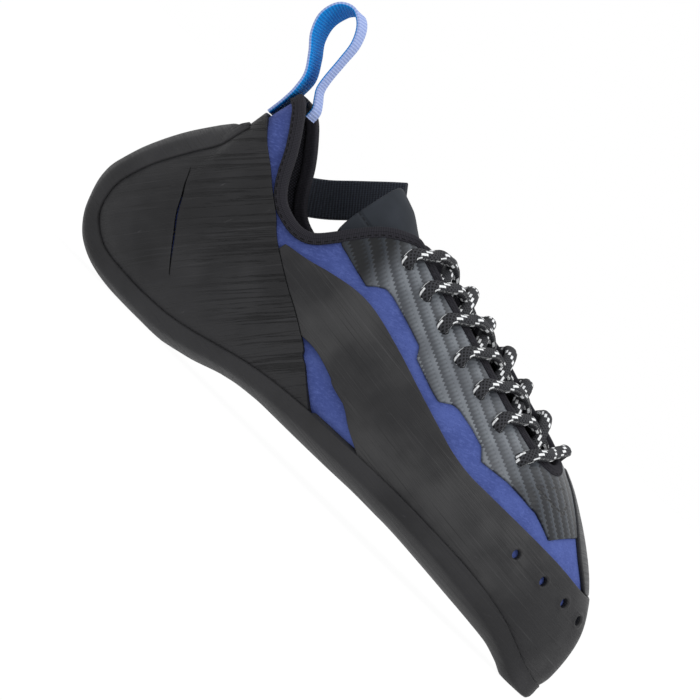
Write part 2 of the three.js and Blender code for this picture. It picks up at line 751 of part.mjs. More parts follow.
function eyeletHoles() {
  const holes = [];
  for (let row = 0; row < EYELET_ROWS; row += 1) {
    for (const outerSide of [true, false]) {
      holes.push(holeAt(eyelet(row, outerSide), outerSide, EYELET_DIAMETER));
    }
  }
  return holes.reduce((all, hole) => all.add(hole));
}

const floorUp = topPrism([v2(-FAR, -FAR), v2(2 * FAR, -FAR), v2(2 * FAR, FAR), v2(-FAR, FAR)], 0, FAR);

// Pieces

// How far down and how far back a face looks where the sole gains its full thickness
const DOWNWARD = { from: 0.3, to: 0.85 };
const BACKWARD = { from: 0.25, to: 0.8 };

// Reach of the sole: thick underneath, thinner up the heel, a thin step at the sides.
function soleReach(normal) {
  const down = THREE.MathUtils.smoothstep(-normal.z, DOWNWARD.from, DOWNWARD.to);
  const back = THREE.MathUtils.smoothstep(-normal.x, BACKWARD.from, BACKWARD.to);
  const side = EDGE_OUT + (BACK_OUT - EDGE_OUT) * back;
  return side + (UNDER_OUT - side) * down;
}

function upper() {
  const base = topPrism(footPlan(LASTING_MARGIN, UNDER_OPENING), -FAR, INSOLE_HIGH);
  const edge = edgeBand(-CLEAR, 0, -2 * WALL, WALL);
  return layer(0, -WALL).subtract(wayIn()).subtract(edge).subtract(base).subtract(holes);
}

function outsole() {
  const rubber = layer(RAND_OUT + GAP, 0);
  const rands = rubber.intersect(heelRegion(GAP).add(toeRegion(GAP)));
  return last(soleReach).intersect(soleRegion()).subtract(last(GAP)).subtract(rands).intersect(floorUp);
}

function insole() {
  const plan = topPrism(footPlan(INSOLE_MARGIN, INSOLE_SPAN), 0, INSOLE_HIGH);
  return layer(INSOLE_OUT, INSOLE_IN).intersect(plan);
}

function tongue() {
  const edge = smoothLine(TONGUE_EDGE.map(sidePoint));
  const foot = TONGUE_FOOT.map(sidePoint);
  const end = foot[foot.length - 1];
  return layer(TONGUE_OUT, TONGUE_IN).intersect(sidePrism([...edge, ...foot, v2(end.x, FAR)]));
}

// Room that the rubber and the eyestay leave for the tape round the way in.
const besideTape = () => edgeBand(-CLEAR, BINDING + GAP, -WALL, 2 * WALL);

function heelRand() {
  const middle = smoothLine(SLIT.map(sidePoint));
  const front = shifted(middle, SLIT_WIDTH / 2);
  const back = shifted(middle, -SLIT_WIDTH / 2);
  const slit = sidePrism([...front, ...back.reverse()], -FAR, 0);
  return layer(RAND_OUT, GAP).intersect(heelRegion(0)).subtract(slit).subtract(besideTape());
}

function toeRand() {
  const rubber = layer(RAND_OUT, GAP).intersect(toeRegion(0));
  return VENTS.reduce((body, vent) => body.subtract(holeAt(vent, true, VENT_DIAMETER)), rubber);
}

function patchRegion(grow) {
  const edge = shifted(smoothLine(TOE_PATCH_EDGE.map(topPoint)), -grow);
  const end = edge[edge.length - 1];
  const plan = topPrism([...edge, v2(FAR, end.y), v2(FAR, FAR), v2(edge[0].x, FAR)]);
  const over = above(shifted(smoothLine(RAND_TOP.map(sidePoint)), GAP - grow));
  return plan.intersect(over);
}

const toePatch = () => layer(GAP + PATCH, GAP).intersect(patchRegion(0));

function eyestay() {
  const edge = EYESTAY_EDGE.map(sidePoint);
  const end = edge[edge.length - 1];
  const region = sidePrism([v2(edge[0].x, FAR), ...edge, v2(end.x, FAR)]);
  return layer(GAP + OVERLAY, GAP).intersect(region).subtract(wayIn()).subtract(besideTape())
    .subtract(patchRegion(GAP)).subtract(holes);
}

// Tape folded over the edge of collar and throat.
const collarBinding = () => edgeRing([
  { into: BINDING, reach: TAPE_UNDER },
  { into: BINDING, reach: TAPE_OUT },
  { into: -GAP - TAPE, reach: TAPE_OUT },
  { into: -GAP - TAPE, reach: TAPE_IN },
  { into: BINDING, reach: TAPE_IN },
  { into: BINDING, reach: TAPE_LINING },
  { into: -GAP, reach: TAPE_LINING },
  { into: -GAP, reach: TAPE_UNDER },
]);

// One lace strand through places with a lift each.
function strand(places) {
  const points = places.map(({ share, turn, lift }) => liftedPoint(share, turn, lift));
  const path = new THREE.CatmullRomCurve3(points);
  const corners = Array.from({ length: LACE_SIDES }, (_, i) => {
    const angle = (i / LACE_SIDES) * 2 * Math.PI;
    return v2((Math.cos(angle) * LACE_DIAMETER) / 2, (Math.sin(angle) * LACE_DIAMETER) / 2);
  });
  const options = { steps: LACE_STEPS, extrudePath: path, bevelEnabled: false };
  return solidFromGeometry(new THREE.ExtrudeGeometry(new THREE.Shape(corners), options));
}

// Lace: each strand leaves its eyelet, folds over the bound edge and crosses down to the far
// edge, where it meets the next strand of the other side. The two of the last row form one bar.
function lace() {
  const proud = TAPE_OUT + GAP + LACE_DIAMETER / 2 + FACET;
  const inside = LACE_DIAMETER / 2 + GAP + TAPE + 2 * GAP;
  const runs = [];
  for (let row = 0; row < EYELET_ROWS; row += 1) {
    for (const outerSide of [true, false]) {
      const next = Math.min(row + 1, EYELET_ROWS - 1);
      const hole = eyelet(row, outerSide);
      const start = lastShare(hole.at * LENGTH);
      const leave = laceTurn(row);
      const goal = laceTurn(next);
      const near = throatEdge(leave, outerSide);
      const far = throatEdge(goal, !outerSide);
      const inward = outerSide ? inside : -inside;
      const middle = (leave + goal) / 2;
      const from = turnAt(start, hole.up * heightAt(hole.at), outerSide);
      runs.push(strand([
        { share: start, turn: from, lift: proud + FACET },
        { share: leave, turn: turnAcross(leave, near), lift: proud + FACET },
        { share: leave, turn: turnAcross(leave, near + inward), lift: proud },
        { share: middle, turn: turnAcross(middle, (near + far) / 2), lift: proud / 2 },
        { share: goal, turn: turnAcross(goal, far - inward), lift: proud / 2 },
      ]));
    }
  }
  return runs.reduce((all, run) => all.add(run));
}

// Share of the last where the strands of one row fold over the edge, a little before the next row.
function laceTurn(row) {
  const here = lastShare(eyelet(row, true).at * LENGTH);
  const next = lastShare(eyelet(Math.min(row + 1, EYELET_ROWS - 1), true).at * LENGTH);
  return THREE.MathUtils.lerp(here, next, LACE_LEAN);
}

// How far across the foot the throat's edge lies on one side.
function throatEdge(share, outerSide) {
  const x = section(share).x;
  const line = THROAT.map(topPoint).sort((a, b) => a.x - b.x);
  const side = line.filter(({ y }) => (outerSide ? y < 0 : y > 0));
  const i = Math.max(1, side.findIndex((point) => point.x > x));
  const before = side[i - 1];
  const after = side[i];
  return THREE.MathUtils.mapLinear(x, before.x, after.x, before.y, after.y);
}

// Flat tape through frames of centre, width direction and face normal.
function tape(frames, width, thickness) {
  const positions = [];
  const triangles = [];
  for (const { centre, across, face } of frames) {
    for (const [side, depth] of [[-1, -1], [1, -1], [1, 1], [-1, 1]]) {
      const corner = centre.clone().addScaledVector(across, (side * width) / 2)
        .addScaledVector(face, (depth * thickness) / 2);
      positions.push(corner.x, corner.y, corner.z);
    }
  }
  for (let i = 0; i < frames.length - 1; i += 1) {
    for (let k = 0; k < 4; k += 1) {
      const a = i * 4 + k;
      const b = i * 4 + ((k + 1) % 4);
      triangles.push(a, b, b + 4, a, b + 4, a + 4);
    }
  }
  const end = (frames.length - 1) * 4;
  triangles.push(0, 2, 1, 0, 3, 2, end, end + 1, end + 2, end, end + 2, end + 3);
  const made = solid(positions, triangles);
  return made.volume() > 0 ? made : solid(positions, flipped(triangles));
}

// Frames along a smooth path. acrossAt: width direction at a share of the path's points.
function tapeFrames(path, acrossAt, count) {
  return Array.from({ length: count + 1 }, (_, i) => {
    const t = i / count;
    const along = path.getTangentAt(t);
    const across = acrossAt(path.getUtoTmapping(t), along);
    const face = along.clone().cross(across).normalize();
    return { centre: path.getPointAt(t), across, face };
  });
}

function heelPullLoop() {
  const points = PULL_LOOP.map(({ at, up }) => new THREE.Vector3(at * LENGTH, 0, up * HEEL_HEIGHT));
  const path = new THREE.CatmullRomCurve3(points);
  const across = (t) => {
    const row = t * (PULL_LOOP.length - 1);
    const i = Math.min(Math.floor(row), PULL_LOOP.length - 2);
    const turn = THREE.MathUtils.lerp(PULL_LOOP[i].turn, PULL_LOOP[i + 1].turn, row - i);
    const angle = THREE.MathUtils.degToRad(turn);
    return new THREE.Vector3(-Math.sin(angle), Math.cos(angle), 0);
  };
  return tape(tapeFrames(path, across, LOOP_STEPS), WEBBING, WEBBING_THICKNESS);
}

function tongueStrap() {
  const place = ({ at, up, y }) => new THREE.Vector3(at * LENGTH, y * HEEL_WIDTH, up * HEEL_HEIGHT);
  const path = new THREE.CatmullRomCurve3(STRAP.map(place));
  const outward = new THREE.Vector3(0, 1, 0);
  const across = (t, along) => along.clone().cross(outward).normalize();
  return tape(tapeFrames(path, across, STRAP_STEPS), WEBBING, WEBBING_THICKNESS);
}

// Looks of the pieces in this file
const MATERIALS = {
  suede: { color: 0x4a5aa6, roughness: 0.9 },
  rubber: { color: 0x33342f, roughness: 0.6 },
  print: { color: 0x5c6266, roughness: 0.45 },
  tape: { color: 0x2b292b, roughness: 0.9 },
  tongue: { color: 0x373c42, roughness: 0.8 },
  board: { color: 0x9a958a, roughness: 0.9 },
  cord: { color: 0x1f2123, roughness: 0.8 },
  webbing: { color: 0x0082d2, roughness: 0.7 },
  elastic: { color: 0x1e232b, roughness: 0.8 },
};

const holes = eyeletHoles();
const group = new THREE.Group();

function addPiece(name, made, look) {
  const mesh = made.getMesh();
  const geometry = new THREE.BufferGeometry();
  geometry.setAttribute('position', new THREE.BufferAttribute(mesh.vertProperties, 3));
  geometry.setIndex(new THREE.BufferAttribute(mesh.triVerts, 1));
  geometry.computeVertexNormals();
  const material = new THREE.MeshStandardMaterial({ ...MATERIALS[look], metalness: 0 });
  const piece = new THREE.Mesh(geometry, material);
  piece.name = name;
  group.add(piece);
}

addPiece('upper', upper(), 'suede');
addPiece('outsole', outsole(), 'rubber');
addPiece('insole', insole(), 'board');
addPiece('tongue', tongue(), 'tongue');
addPiece('heel_rand', heelRand(), 'rubber');
addPiece('toe_rand', toeRand(), 'rubber');
addPiece('toe_patch', toePatch(), 'rubber');
addPiece('eyestay', eyestay(), 'print');
addPiece('collar_binding', collarBinding(), 'tape');
addPiece('lace', lace(), 'cord');
addPiece('heel_pull_loop', heelPullLoop(), 'webbing');
addPiece('tongue_strap', tongueStrap(), 'elastic');

group.position.set(-REST_X, 0, 0);

export default group;
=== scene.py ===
# Looks of a lace-up climbing shoe, right foot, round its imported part. For Blender 4.5.
# Shapes are worked out in millimetres from the heel's back and made in metres in the part's frame:
# +X from heel to toe, +Y to the inner (big toe) side, +Z up, floor at z = 0.

import math

import bmesh
import bpy
import numpy as np
from mathutils import Matrix, Vector


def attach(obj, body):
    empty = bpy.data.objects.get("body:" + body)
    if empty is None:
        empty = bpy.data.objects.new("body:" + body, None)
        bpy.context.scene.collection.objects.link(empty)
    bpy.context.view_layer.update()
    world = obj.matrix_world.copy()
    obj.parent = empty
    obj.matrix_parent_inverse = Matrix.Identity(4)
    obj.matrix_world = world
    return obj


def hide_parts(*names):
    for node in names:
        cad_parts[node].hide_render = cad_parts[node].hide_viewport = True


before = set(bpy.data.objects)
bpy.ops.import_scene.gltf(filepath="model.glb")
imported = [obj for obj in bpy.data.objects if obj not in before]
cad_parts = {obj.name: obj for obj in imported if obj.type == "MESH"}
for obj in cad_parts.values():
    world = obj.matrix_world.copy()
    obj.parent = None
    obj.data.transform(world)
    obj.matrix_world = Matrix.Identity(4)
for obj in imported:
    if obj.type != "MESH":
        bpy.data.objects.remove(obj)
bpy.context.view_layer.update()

MM = 0.001

# Overall sizes in mm, as in the part's source
LENGTH = 250.0
BALL_WIDTH = 90.0
HEEL_WIDTH = 61.0
HEEL_HEIGHT = 101.0
INSTEP_HEIGHT = 95.0
ARCH_RISE = 10.0
REST_X = 46.0  # from the heel's back to the frame's origin

# Layers, in mm
GAP = 0.3
WALL = 2.0
RAND = 1.8
PATCH = 1.4
OVERLAY = 0.8
TAPE = 1.1
INSOLE = 2.2
SOLE = 4.2
SOLE_BACK = 3.0
SOLE_EDGE = 0.8
SPOT_DEPTH = 0.6

# Openings, holes and trim, in mm, apart from the number of rows
LASTING_MARGIN = 11.0
INSOLE_MARGIN = 6.0
BINDING = 3.4
EYELET_ROWS = 7
EYELET_DIAMETER = 3.2
VENT_DIAMETER = 3.4
SLIT_WIDTH = 1.2
LACE_WIDTH = 5.0
LACE_HEIGHT = 3.9
LACE_BULGE = 1.6  # how far a strand's end bulges towards the heel
WEBBING = 15.0
WEBBING_THICKNESS = 1.5
RIB_PITCH = 1.3  # ribs of the elastic strap
SEAM_GAP = 0.08  # between the heel rubber and the side rubber
SOLE_BEVEL = 9.0  # distance from its seam in which the sole reaches its full thickness
WALL_LIMIT = 60.0  # largest distance that the field of the upper's wall tells
PATH_STEP = 0.7  # between points along lace and pull loop
STRAP_STEP = 0.33  # between points along the strap
RIB_DEPTH = 0.16  # height of the strap's ribs
UNDER_EYELET = -4.0  # lift of a strand's end above the last's surface, so it lies below
AT_EYELET = -0.8  # lift at which a strand enters its eyelet
BAR_AHEAD = 3.4  # how far in front of its eyelets the last bar crosses
BAR_BULGE = 1.2  # the same beside its eyelets

# Reach of each layer from the last's own surface, which is the outside of the upper
RAND_OUT = GAP + RAND
BACK_OUT = RAND_OUT + GAP + SOLE_BACK
UNDER_OUT = RAND_OUT + GAP + SOLE
EDGE_OUT = RAND_OUT + SOLE_EDGE
TAPE_OUT = GAP + TAPE + 0.3
TAPE_LINING = -(WALL + GAP)
TAPE_IN = TAPE_LINING - TAPE
TONGUE_OUT = -4.9
TONGUE_IN = -7.3
INSOLE_OUT = -(WALL + GAP)
INSOLE_IN = INSOLE_OUT - INSOLE

LAST_BACK = BACK_OUT
LAST_LENGTH = LENGTH - BACK_OUT - EDGE_OUT
LAST_LOW = UNDER_OUT - SPOT_DEPTH
FAR = LENGTH  # reaches past the shoe, for closing outlines round it

# Sections of the last, heel to toe, as in the part's source. at: share of its length. lift: share
# of ARCH_RISE. curl, high, belly: shares of the height named for that place. outer, inner, crest,
# keel: shares of the width named for that place. roof, edge: how square top and bottom are.
COLUMNS = ["at", "lift", "curl", "high", "outer", "inner", "belly", "crest", "keel", "roof", "edge"]
SECTION_ROWS = [
    [0.000, 0.00, 0.250, 0.312, 0.000, 0.000, 0.312, 0.000, 0.000, 2.0, 2.4],
    [0.006, 0.00, 0.180, 0.370, 0.139, 0.131, 0.310, 0.000, 0.000, 2.0, 2.4],
    [0.020, 0.00, 0.114, 0.466, 0.254, 0.246, 0.310, 0.000, 0.000, 2.0, 2.4],
    [0.045, 0.00, 0.055, 0.582, 0.352, 0.336, 0.310, 0.000, 0.000, 2.0, 2.4],
    [0.075, 0.00, 0.022, 0.686, 0.418, 0.397, 0.320, 0.000, 0.000, 2.0, 2.5],
    [0.100, 0.00, 0.010, 0.775, 0.448, 0.423, 0.320, 0.000, 0.000, 2.1, 2.6],
    [0.115, 0.00, 0.006, 0.960, 0.457, 0.431, 0.320, 0.000, 0.000, 2.2, 2.6],
    [0.130, 0.00, 0.004, 1.060, 0.464, 0.438, 0.320, 0.000, 0.000, 2.2, 2.6],
    [0.155, 0.00, 0.001, 1.120, 0.469, 0.443, 0.320, 0.000, 0.000, 2.2, 2.7],
    [0.200, 0.00, 0.000, 1.150, 0.472, 0.443, 0.325, 0.000, 0.000, 2.2, 2.8],
    [0.260, 0.25, 0.000, 1.155, 0.478, 0.430, 0.335, 0.000, 0.000, 2.2, 3.0],
    [0.320, 0.70, 0.000, 1.120, 0.475, 0.400, 0.350, 0.000, -0.01, 2.2, 3.3],
    [0.370, 0.93, 0.000, 1.095, 0.464, 0.374, 0.365, 0.000, -0.02, 2.3, 3.6],
    [0.420, 1.03, 0.000, 1.020, 0.457, 0.360, 0.370, 0.010, -0.03, 2.4, 3.8],
    [0.480, 1.04, 0.000, 0.972, 0.453, 0.361, 0.370, 0.030, -0.04, 2.3, 3.8],
    [0.550, 1.06, 0.000, 0.920, 0.455, 0.378, 0.370, 0.060, -0.03, 2.3, 3.8],
    [0.620, 1.10, 0.000, 0.876, 0.467, 0.416, 0.365, 0.090, -0.01, 2.2, 3.6],
    [0.690, 1.05, 0.000, 0.820, 0.464, 0.456, 0.355, 0.100, 0.015, 2.2, 3.4],
    [0.760, 0.93, 0.000, 0.772, 0.422, 0.481, 0.335, 0.120, 0.050, 2.2, 3.3],
    [0.820, 0.79, 0.000, 0.713, 0.351, 0.482, 0.315, 0.135, 0.090, 2.2, 3.2],
    [0.870, 0.66, 0.000, 0.637, 0.258, 0.464, 0.285, 0.150, 0.130, 2.1, 3.1],
    [0.910, 0.52, 0.000, 0.563, 0.160, 0.436, 0.260, 0.165, 0.165, 2.1, 3.0],
    [0.945, 0.22, 0.000, 0.484, 0.056, 0.396, 0.225, 0.180, 0.190, 2.1, 2.9],
    [0.970, -0.06, 0.000, 0.405, -0.033, 0.351, 0.190, 0.190, 0.195, 2.1, 2.8],
    [0.990, -0.05, 0.006, 0.310, -0.117, 0.289, 0.155, 0.197, 0.200, 2.1, 2.6],
    [1.000, 0.00, 0.066, 0.136, -0.200, 0.200, 0.136, 0.200, 0.200, 2.1, 2.4],
]

# Side outlines, as in the part's source: share of LENGTH from the heel's back, share of the
# height named for that place
COLLAR_EDGE = [
    (0.136, 0.995), (0.156, 0.976), (0.176, 0.924), (0.201, 0.840), (0.216, 0.772),
    (0.231, 0.718), (0.247, 0.684), (0.268, 0.670), (0.290, 0.667), (0.312, 0.690),
    (0.328, 0.740), (0.345, 0.803), (0.358, 0.852), (0.373, 0.902), (0.392, 0.945),
    (0.412, 0.972), (0.445, 1.010),
]
HEEL_RAND_EDGE = [
    (0.100, 0.885), (0.118, 0.872), (0.135, 0.855), (0.163, 0.797), (0.193, 0.744),
    (0.222, 0.686), (0.253, 0.635), (0.275, 0.589), (0.305, 0.545), (0.340, 0.500),
    (0.372, 0.462), (0.402, 0.418), (0.434, 0.362), (0.494, 0.225), (0.530, 0.130),
]
RAND_TOP = [
    (0.284, 0.570), (0.292, 0.595), (0.333, 0.623), (0.374, 0.659), (0.420, 0.682),
    (0.464, 0.677), (0.531, 0.634), (0.596, 0.581), (0.660, 0.529), (0.694, 0.503),
    (0.735, 0.485), (0.780, 0.483), (0.837, 0.481), (0.891, 0.476), (0.918, 0.469),
    (0.950, 0.455), (1.020, 0.430),
]
ARCH_WINDOW = [
    (0.394, 0.405), (0.437, 0.408), (0.479, 0.378), (0.528, 0.336), (0.560, 0.283),
    (0.597, 0.231), (0.625, 0.170),
]
SOLE_SEAM = [
    (0.116, 0.800), (0.108, 0.735), (0.096, 0.643), (0.077, 0.562), (0.052, 0.459),
    (0.035, 0.350), (0.030, 0.287), (0.034, 0.211), (0.046, 0.146), (0.071, 0.093),
    (0.098, 0.064), (0.150, 0.052), (0.200, 0.053), (0.250, 0.065), (0.310, 0.100),
    (0.384, 0.155), (0.440, 0.186), (0.497, 0.206), (0.598, 0.218), (0.697, 0.219),
    (0.798, 0.218), (0.867, 0.196), (0.915, 0.160), (0.964, 0.100), (1.020, 0.045),
]
EYESTAY_EDGE = [
    (0.326, 0.766), (0.371, 0.751), (0.392, 0.739), (0.424, 0.721), (0.434, 0.747),
    (0.448, 0.769), (0.464, 0.766), (0.504, 0.737), (0.545, 0.703), (0.557, 0.660),
    (0.608, 0.614), (0.626, 0.602), (0.643, 0.634), (0.656, 0.638), (0.687, 0.622),
    (0.717, 0.597), (0.733, 0.554), (0.779, 0.568), (0.808, 0.564), (0.836, 0.556),
    (0.873, 0.513), (0.887, 0.579), (0.894, 0.620),
]
TONGUE_EDGE = [
    (0.338, 1.200), (0.337, 1.080), (0.332, 0.960), (0.326, 0.840), (0.326, 0.780),
]
TONGUE_FOOT = [
    (0.440, 0.760), (0.600, 0.680), (0.800, 0.600), (0.815, 0.640),
]
SLIT = [
    (0.111, 0.526), (0.131, 0.442), (0.146, 0.376), (0.169, 0.302), (0.187, 0.244), (0.200, 0.206),
]

# Top outlines, as in the part's source: share of LENGTH, share of BALL_WIDTH
THROAT = [
    (0.380, -0.160), (0.440, -0.170), (0.560, -0.180), (0.640, -0.188), (0.700, -0.188),
    (0.752, -0.170), (0.784, -0.120), (0.796, -0.040), (0.784, 0.045), (0.752, 0.090),
    (0.690, 0.105), (0.600, 0.122), (0.520, 0.138), (0.440, 0.145), (0.380, 0.145),
]
TOE_PATCH_EDGE = [
    (0.780, 0.470), (0.786, 0.280), (0.806, 0.130), (0.832, 0.110), (0.860, 0.085),
    (0.887, 0.062), (0.914, 0.064), (0.935, 0.092), (0.955, 0.130),
]

# Eyelets and vents: share of LENGTH, share of the height named for that place
FIRST_EYELET = 0.443
LAST_EYELET = 0.763
OUTER_EYELET_UP = [0.885, 0.845, 0.803, 0.757, 0.720, 0.682, 0.645]
INNER_EYELET_UP = [0.900, 0.880, 0.846, 0.812, 0.780, 0.742, 0.700]
VENTS = [(0.853, 0.384), (0.902, 0.378), (0.939, 0.370), (0.965, 0.354)]

# Pull loop from its outer root to its inner root: share of LENGTH, share of HEEL_HEIGHT, turn of
# the tape's width from the Y axis in degrees
PULL_LOOP = [
    (0.1172, 0.876, 0), (0.1190, 0.905, 0), (0.1214, 0.952, 0), (0.1232, 1.010, -3),
    (0.1200, 1.075, -7), (0.1040, 1.140, -10), (0.0860, 1.200, -13), (0.0780, 1.270, -16),
    (0.0860, 1.335, -16), (0.1050, 1.363, -10), (0.1230, 1.338, -3), (0.1355, 1.275, 1),
    (0.1390, 1.195, 3), (0.1415, 1.115, 3), (0.1455, 1.065, 2), (0.1545, 1.032, 0),
    (0.1635, 0.998, 0), (0.1645, 0.960, 0),
]

# Elastic strap from the collar's inner side to the tongue: share of LENGTH, share of HEEL_HEIGHT,
# share of HEEL_WIDTH
STRAP = [
    (0.165, 0.680, 0.487), (0.205, 0.722, 0.484), (0.245, 0.785, 0.444),
    (0.285, 0.865, 0.350), (0.325, 0.944, 0.235), (0.347, 0.986, 0.175),
]

# Slow wave of the whole surface, and where the relief begins, in mm
WAVE_DEPTH = 0.1
SIDE_START = 4.0  # distance from the middle plane from which a crease shows
SIDE_FADE = 10.0
FLOOR_START = 8.0  # height from which the relief shows, so that the sole stays flat
FLOOR_FADE = 14.0

# Creases seen in the photo. from, to: share of LENGTH and share of the height named for that place.
# deep: mm below the surface, or above it when negative. wide: mm to where it has faded.
# side: -1 outer, 1 inner, 0 both. The inner side isn't seen, so its creases are a guess.
CREASES = [
    # from_at, from_up, to_at, to_up, deep, wide, side
    (0.300, 0.590, 0.345, 0.430, 0.45, 7.0, 0),    # behind the bulge of the side rubber
    (0.335, 0.600, 0.480, 0.540, -0.55, 9.0, 0),   # bulge of the side rubber under the ankle
    (0.380, 0.480, 0.500, 0.400, 0.40, 7.0, 0),    # hollow above the arch window
    (0.500, 0.560, 0.640, 0.440, -0.35, 8.0, 0),   # swell along the waist
    (0.560, 0.330, 0.680, 0.300, 0.40, 7.0, -1),   # hollow in front of the arch window
    (0.700, 0.190, 0.900, 0.200, 0.60, 9.0, 0),    # trough over the sole at the toes
    (0.740, 0.380, 0.900, 0.330, -0.35, 8.0, 0),   # swell of the toe rubber
    (0.700, 0.440, 0.760, 0.330, 0.30, 4.5, -1),   # bend behind the first vent
    (0.195, 0.260, 0.120, 0.520, 0.40, 5.0, -1),   # dent along the slit
    (0.075, 0.180, 0.120, 0.330, 0.28, 4.0, -1),   # short creases at the heel's lower corner
    (0.095, 0.150, 0.150, 0.300, 0.24, 3.2, -1),
    (0.060, 0.260, 0.100, 0.400, 0.22, 3.5, -1),
    (0.215, 0.480, 0.330, 0.420, -0.30, 7.0, -1),  # swell in front of the slit
    (0.225, 0.300, 0.330, 0.250, 0.30, 7.0, 0),
    (0.201, 0.200, 0.207, 0.090, 0.28, 1.8, -1),   # line below the slit
    (0.262, 0.620, 0.330, 0.640, 0.30, 2.4, 0),    # folds of the suede under the collar
    (0.272, 0.600, 0.360, 0.655, -0.22, 2.2, 0),
    (0.150, 0.905, 0.205, 0.760, 0.25, 3.0, 0),
    (0.450, 0.790, 0.520, 0.690, 0.22, 3.5, 0),    # bends of the overlay between the eyelets
    (0.530, 0.740, 0.600, 0.640, 0.22, 3.5, 0),
    (0.610, 0.700, 0.680, 0.610, 0.20, 3.5, 0),
    (0.780, 0.620, 0.830, 0.545, 0.35, 4.0, -1),   # folds behind the toes
    (0.815, 0.600, 0.862, 0.525, -0.30, 3.6, -1),
]


# Maths of the last

def smooth(t):
    t = np.clip(t, 0.0, 1.0)
    return t * t * (3 - 2 * t)


def blend(at, start, end, first, second):
    return first + (second - first) * smooth((at - start) / (end - start))


def height_at(at):
    return blend(at, 0.2, 0.4, HEEL_HEIGHT, INSTEP_HEIGHT)


def width_at(at):
    return blend(at, 0.25, 0.6, HEEL_WIDTH, BALL_WIDTH)


def as_angle(at):
    return np.arccos(1 - 2 * np.clip(at, 0.0, 1.0))


def column_curve(index):
    """Monotone cubic through the rows of one column."""
    rows = np.array(SECTION_ROWS)
    xs = as_angle(rows[:, 0])
    ys = rows[:, index]
    slopes = np.diff(ys) / np.diff(xs)
    before, after = slopes[:-1], slopes[1:]
    total = np.where(before * after > 0, before + after, 1.0)
    inner = np.where(before * after > 0, 2 * before * after / total, 0.0)
    tangents = np.concatenate([slopes[:1], inner, slopes[-1:]])

    def curve(at):
        angle = as_angle(at)
        i = np.clip(np.searchsorted(xs, angle) - 1, 0, len(slopes) - 1)
        step = xs[i + 1] - xs[i]
        t = (angle - xs[i]) / step
        rise = ys[i + 1] - ys[i]
        a = tangents[i] * step - rise
        b = rise - tangents[i + 1] * step
        return ys[i] + t * rise + t * (1 - t) * (a * (1 - t) + b * t)

    return curve


CURVES = {name: column_curve(index) for index, name in enumerate(COLUMNS)}


def section(at):
    """One section, or many, in millimetres."""
    at = np.asarray(at, float)
    height = height_at(at)
    width = width_at(at)
    return {
        "x": LAST_BACK + at * LAST_LENGTH,
        "low": LAST_LOW + CURVES["lift"](at) * ARCH_RISE + CURVES["curl"](at) * HEEL_HEIGHT,
        "high": CURVES["high"](at) * height,
        "belly": CURVES["belly"](at) * height,
        "outer": -CURVES["outer"](at) * width,
        "inner": CURVES["inner"](at) * width,
        "crest": CURVES["crest"](at) * width,
        "keel": CURVES["keel"](at) * width,
        "roof": CURVES["roof"](at),
        "edge": CURVES["edge"](at),
    }


def surface(share, turn):
    """Points of the last. turn: 0 widest outer line, 0.25 crest, 0.5 widest inner line, 0.75 under."""
    s = section(share)
    angle = np.asarray(turn) * 2 * np.pi
    across = np.cos(angle)
    up = np.sin(angle)
    side = np.where(across > 0, s["outer"], s["inner"])
    middle = np.where(up > 0, s["crest"], s["keel"])
    power = 2 / np.where(up > 0, s["roof"], s["edge"])
    end = np.where(up > 0, s["high"], s["low"])
    return np.stack([
        s["x"] + 0 * across,
        middle + (side - middle) * np.abs(across) ** power,
        s["belly"] + (end - s["belly"]) * np.abs(up) ** power,
    ], -1)


NUDGE = 0.002  # step in share and turn for the slopes of the surface


def unit(v):
    return v / np.maximum(np.linalg.norm(v, axis=-1, keepdims=True), 1e-12)


def normals(share, turn):
    share = np.asarray(share, float)
    ahead = surface(np.minimum(share + NUDGE, 0.9999), turn)
    behind = surface(np.maximum(share - NUDGE, 0.0001), turn)
    following = surface(share, turn + NUDGE)
    previous = surface(share, turn - NUDGE)
    found = unit(np.cross(ahead - behind, following - previous))
    found = np.where((share < 1e-6)[..., None], np.array([-1.0, 0, 0]), found)
    return np.where((share > 1 - 1e-6)[..., None], np.array([1.0, 0, 0]), found)


def turn_at(share, height, outer_side):
    """Turn of the surface point at a height, on the outer or the inner side."""
    s = section(share)
    up = np.clip((height - s["belly"]) / (s["high"] - s["belly"]), -1, 1)
    quarter = np.arcsin(np.abs(up) ** (s["roof"] / 2)) / (2 * np.pi)
    return np.where(outer_side, quarter, 0.5 - quarter)


def turn_across(share, y):
    """Turn of the surface point above a place across the foot."""
    s = section(share)
    outer_side = y < s["crest"]
    reach = np.abs(y - s["crest"]) / np.abs(np.where(outer_side, s["outer"], s["inner"]) - s["crest"])
    quarter = np.arccos(np.minimum(reach, 1) ** (s["roof"] / 2)) / (2 * np.pi)
    return np.where(outer_side, quarter, 0.5 - quarter)


def last_share(x):
    return (x - LAST_BACK) / LAST_LENGTH


def walked(share, turn, direction, distance):
    """Places reached by walking over the surface along a direction."""
    share = np.array(share, float)
    turn = np.array(turn, float)
    distance = np.broadcast_to(np.asarray(distance, float), share.shape)
    steps = max(1, int(math.ceil(np.abs(distance).max() * 1.5)))
    for _ in range(steps):
        here = surface(share, turn)
        by_share = (surface(share + NUDGE, turn) - here) / NUDGE
        by_turn = (surface(share, turn + NUDGE) - here) / NUDGE
        move = direction * (distance / steps)[..., None]
        a = (by_share * by_share).sum(-1)
        b = (by_share * by_turn).sum(-1)
        c = (by_turn * by_turn).sum(-1)
        p = (by_share * move).sum(-1)
        q = (by_turn * move).sum(-1)
        det = np.maximum(a * c - b * b, 1e-9)
        share = share + (c * p - b * q) / det
        turn = turn + (a * q - b * p) / det
    return share, turn


# Outlines

